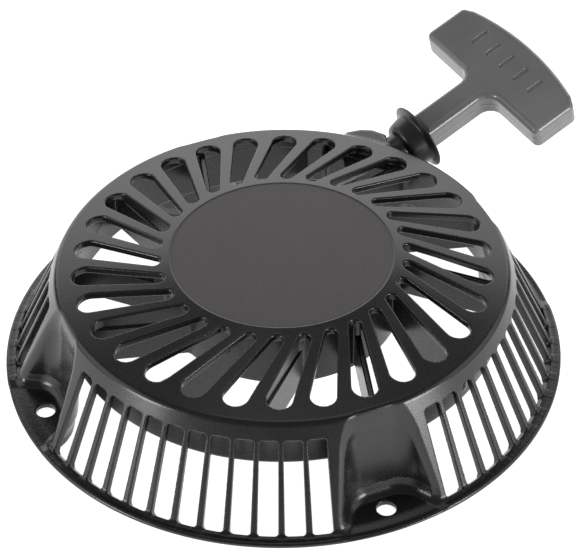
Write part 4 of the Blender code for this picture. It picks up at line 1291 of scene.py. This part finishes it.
def add_stage():
    look = bpy.data.materials.new("pale_floor")
    look.use_nodes = True
    shader = look.node_tree.nodes["Principled BSDF"]
    shader.inputs["Base Color"].default_value = (0.93, 0.93, 0.93, 1.0)
    shader.inputs["Roughness"].default_value = 0.9
    shader.inputs["Specular IOR Level"].default_value = 0.1
    shader.inputs["Emission Color"].default_value = (1.0, 1.0, 1.0, 1.0)
    shader.inputs["Emission Strength"].default_value = 0.95
    half = 3.0
    floor = mesh_object("floor", [(-half, -half, -0.0002), (half, -half, -0.0002), (half, half, -0.0002),
                                  (-half, half, -0.0002)], [(0, 1, 2, 3)], look)
    bpy.context.scene.view_settings.view_transform = "Standard"
    world = bpy.data.worlds.new("studio")
    bpy.context.scene.world = world
    world.use_nodes = True
    back = world.node_tree.nodes["Background"]
    back.inputs["Color"].default_value = (1.0, 1.0, 1.0, 1.0)
    back.inputs["Strength"].default_value = 0.12
    add_panel("back_panel", 180.0, 24.0, 1.6, (2.6, 1.1), 17.0)
    add_panel("left_panel", -95.0, 30.0, 1.4, (1.2, 0.9), 4.5)
    add_panel("right_panel", 100.0, 28.0, 1.5, (1.2, 0.9), 4.0)
    add_panel("top_panel", 165.0, 78.0, 1.5, (0.8, 0.6), 1.5)
    add_panel("left_strip", -60.0, 12.0, 1.3, (0.35, 0.4), 7.0)
    add_panel("right_strip", 56.0, 11.0, 1.3, (0.45, 0.4), 10.0)


# ------------------------------------------------------------------ assembly

def merged(name, items):
    builder = bmesh.new()
    for item in items:
        builder.from_mesh(item.data)
    mesh = bpy.data.meshes.new(name)
    builder.to_mesh(mesh)
    builder.free()
    mesh.materials.append(items[0].data.materials[0])
    mesh.shade_smooth()
    for item in items:
        bpy.data.objects.remove(item, do_unlink=True)
    joined = bpy.data.objects.new(name, mesh)
    bpy.context.scene.collection.objects.link(joined)
    return joined


def place_piece(item, body, slot, *nodes):
    item.data.transform(item.matrix_world)
    item.matrix_world = Matrix.Identity(4)
    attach(item, body)
    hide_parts(*nodes)


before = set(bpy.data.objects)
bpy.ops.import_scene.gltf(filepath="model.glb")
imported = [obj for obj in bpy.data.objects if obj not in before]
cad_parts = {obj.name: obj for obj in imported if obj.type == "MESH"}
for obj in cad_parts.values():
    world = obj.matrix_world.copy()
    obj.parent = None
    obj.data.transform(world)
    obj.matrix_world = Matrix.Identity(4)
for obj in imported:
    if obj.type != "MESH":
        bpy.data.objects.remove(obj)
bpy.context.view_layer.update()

add_camera()
add_stage()

CASTING = casting_look()
GLOSS = surface("gloss_black_moulding", ((0.010, 0.010, 0.0096), (0.015, 0.015, 0.0144)), (0.30, 0.38), 900.0,
                (0.03, 0.0001), blotch=40.0)[0]
GRIP = surface("satin_grip_moulding", ((0.140, 0.139, 0.141), (0.165, 0.164, 0.167)), (0.20, 0.28), 1800.0,
               (0.10, 0.0001), blotch=50.0)[0]
ROPE = rope_look()
REEL = surface("dark_reel_moulding", ((0.020, 0.020, 0.021), (0.028, 0.028, 0.029)), (0.40, 0.52), 1100.0,
               (0.08, 0.0001))[0]
STEEL = metal_look("zinc_plated_steel", ((0.52, 0.52, 0.51), (0.62, 0.61, 0.58)), (0.26, 0.38), 800.0)
SPRING = metal_look("blued_spring_steel", ((0.16, 0.18, 0.22), (0.24, 0.25, 0.28)), (0.24, 0.34), 1400.0, 6.0)
PAWL = metal_look("sintered_steel", ((0.34, 0.33, 0.31), (0.44, 0.43, 0.40)), (0.40, 0.55), 1600.0, bump=0.2)

place_piece(make_housing(CASTING), "cover", "casting", "housing")
place_piece(make_eyelet(GLOSS), "cover", "eyelet", "rope_eyelet")
place_piece(make_handle(GRIP), "handle", "grip", "handle_grip")
place_piece(make_insert(STEEL), "handle", "steel", "grip_insert")
place_piece(make_handle_knot(ROPE), "handle", "rope", "handle_knot")
place_piece(make_rope_run(ROPE), "cover", "rope", "rope_run")
place_piece(merged("winding_turns", make_winding(ROPE)), "reel", "rope", "rope_winding")
knot, stub = make_reel_knot(ROPE)
place_piece(knot, "reel", "rope", "pulley_knot")
place_piece(stub, "reel", "rope", "pulley_knot")
place_piece(make_reel(REEL), "reel", "reel", "pulley")
place_piece(make_keeper(STEEL), "reel", "steel", "spring_keeper")
place_piece(make_recoil_spring(SPRING), "cover", "spring_steel", "recoil_spring")
for letter, turn, body in (("a", 0.0, "left_pawl"), ("b", math.pi, "right_pawl")):
    place_piece(make_pawl(letter, turn, PAWL), body, "pawl_steel", "pawl_" + letter)
    place_piece(make_pawl_spring(letter, turn, SPRING), "reel", "spring_steel", "pawl_spring_" + letter)
place_piece(make_cam_plate(STEEL), "cam_plate", "steel", "friction_plate")
place_piece(make_friction_spring(SPRING), "cover", "spring_steel", "friction_spring")
place_piece(make_washer(STEEL), "cover", "steel", "screw_washer")
place_piece(make_screw(STEEL), "cover", "steel", "centre_screw")

lead, lead_start, lead_end = make_rope_lead(ROPE)
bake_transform(lead)
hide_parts("rope_lead")
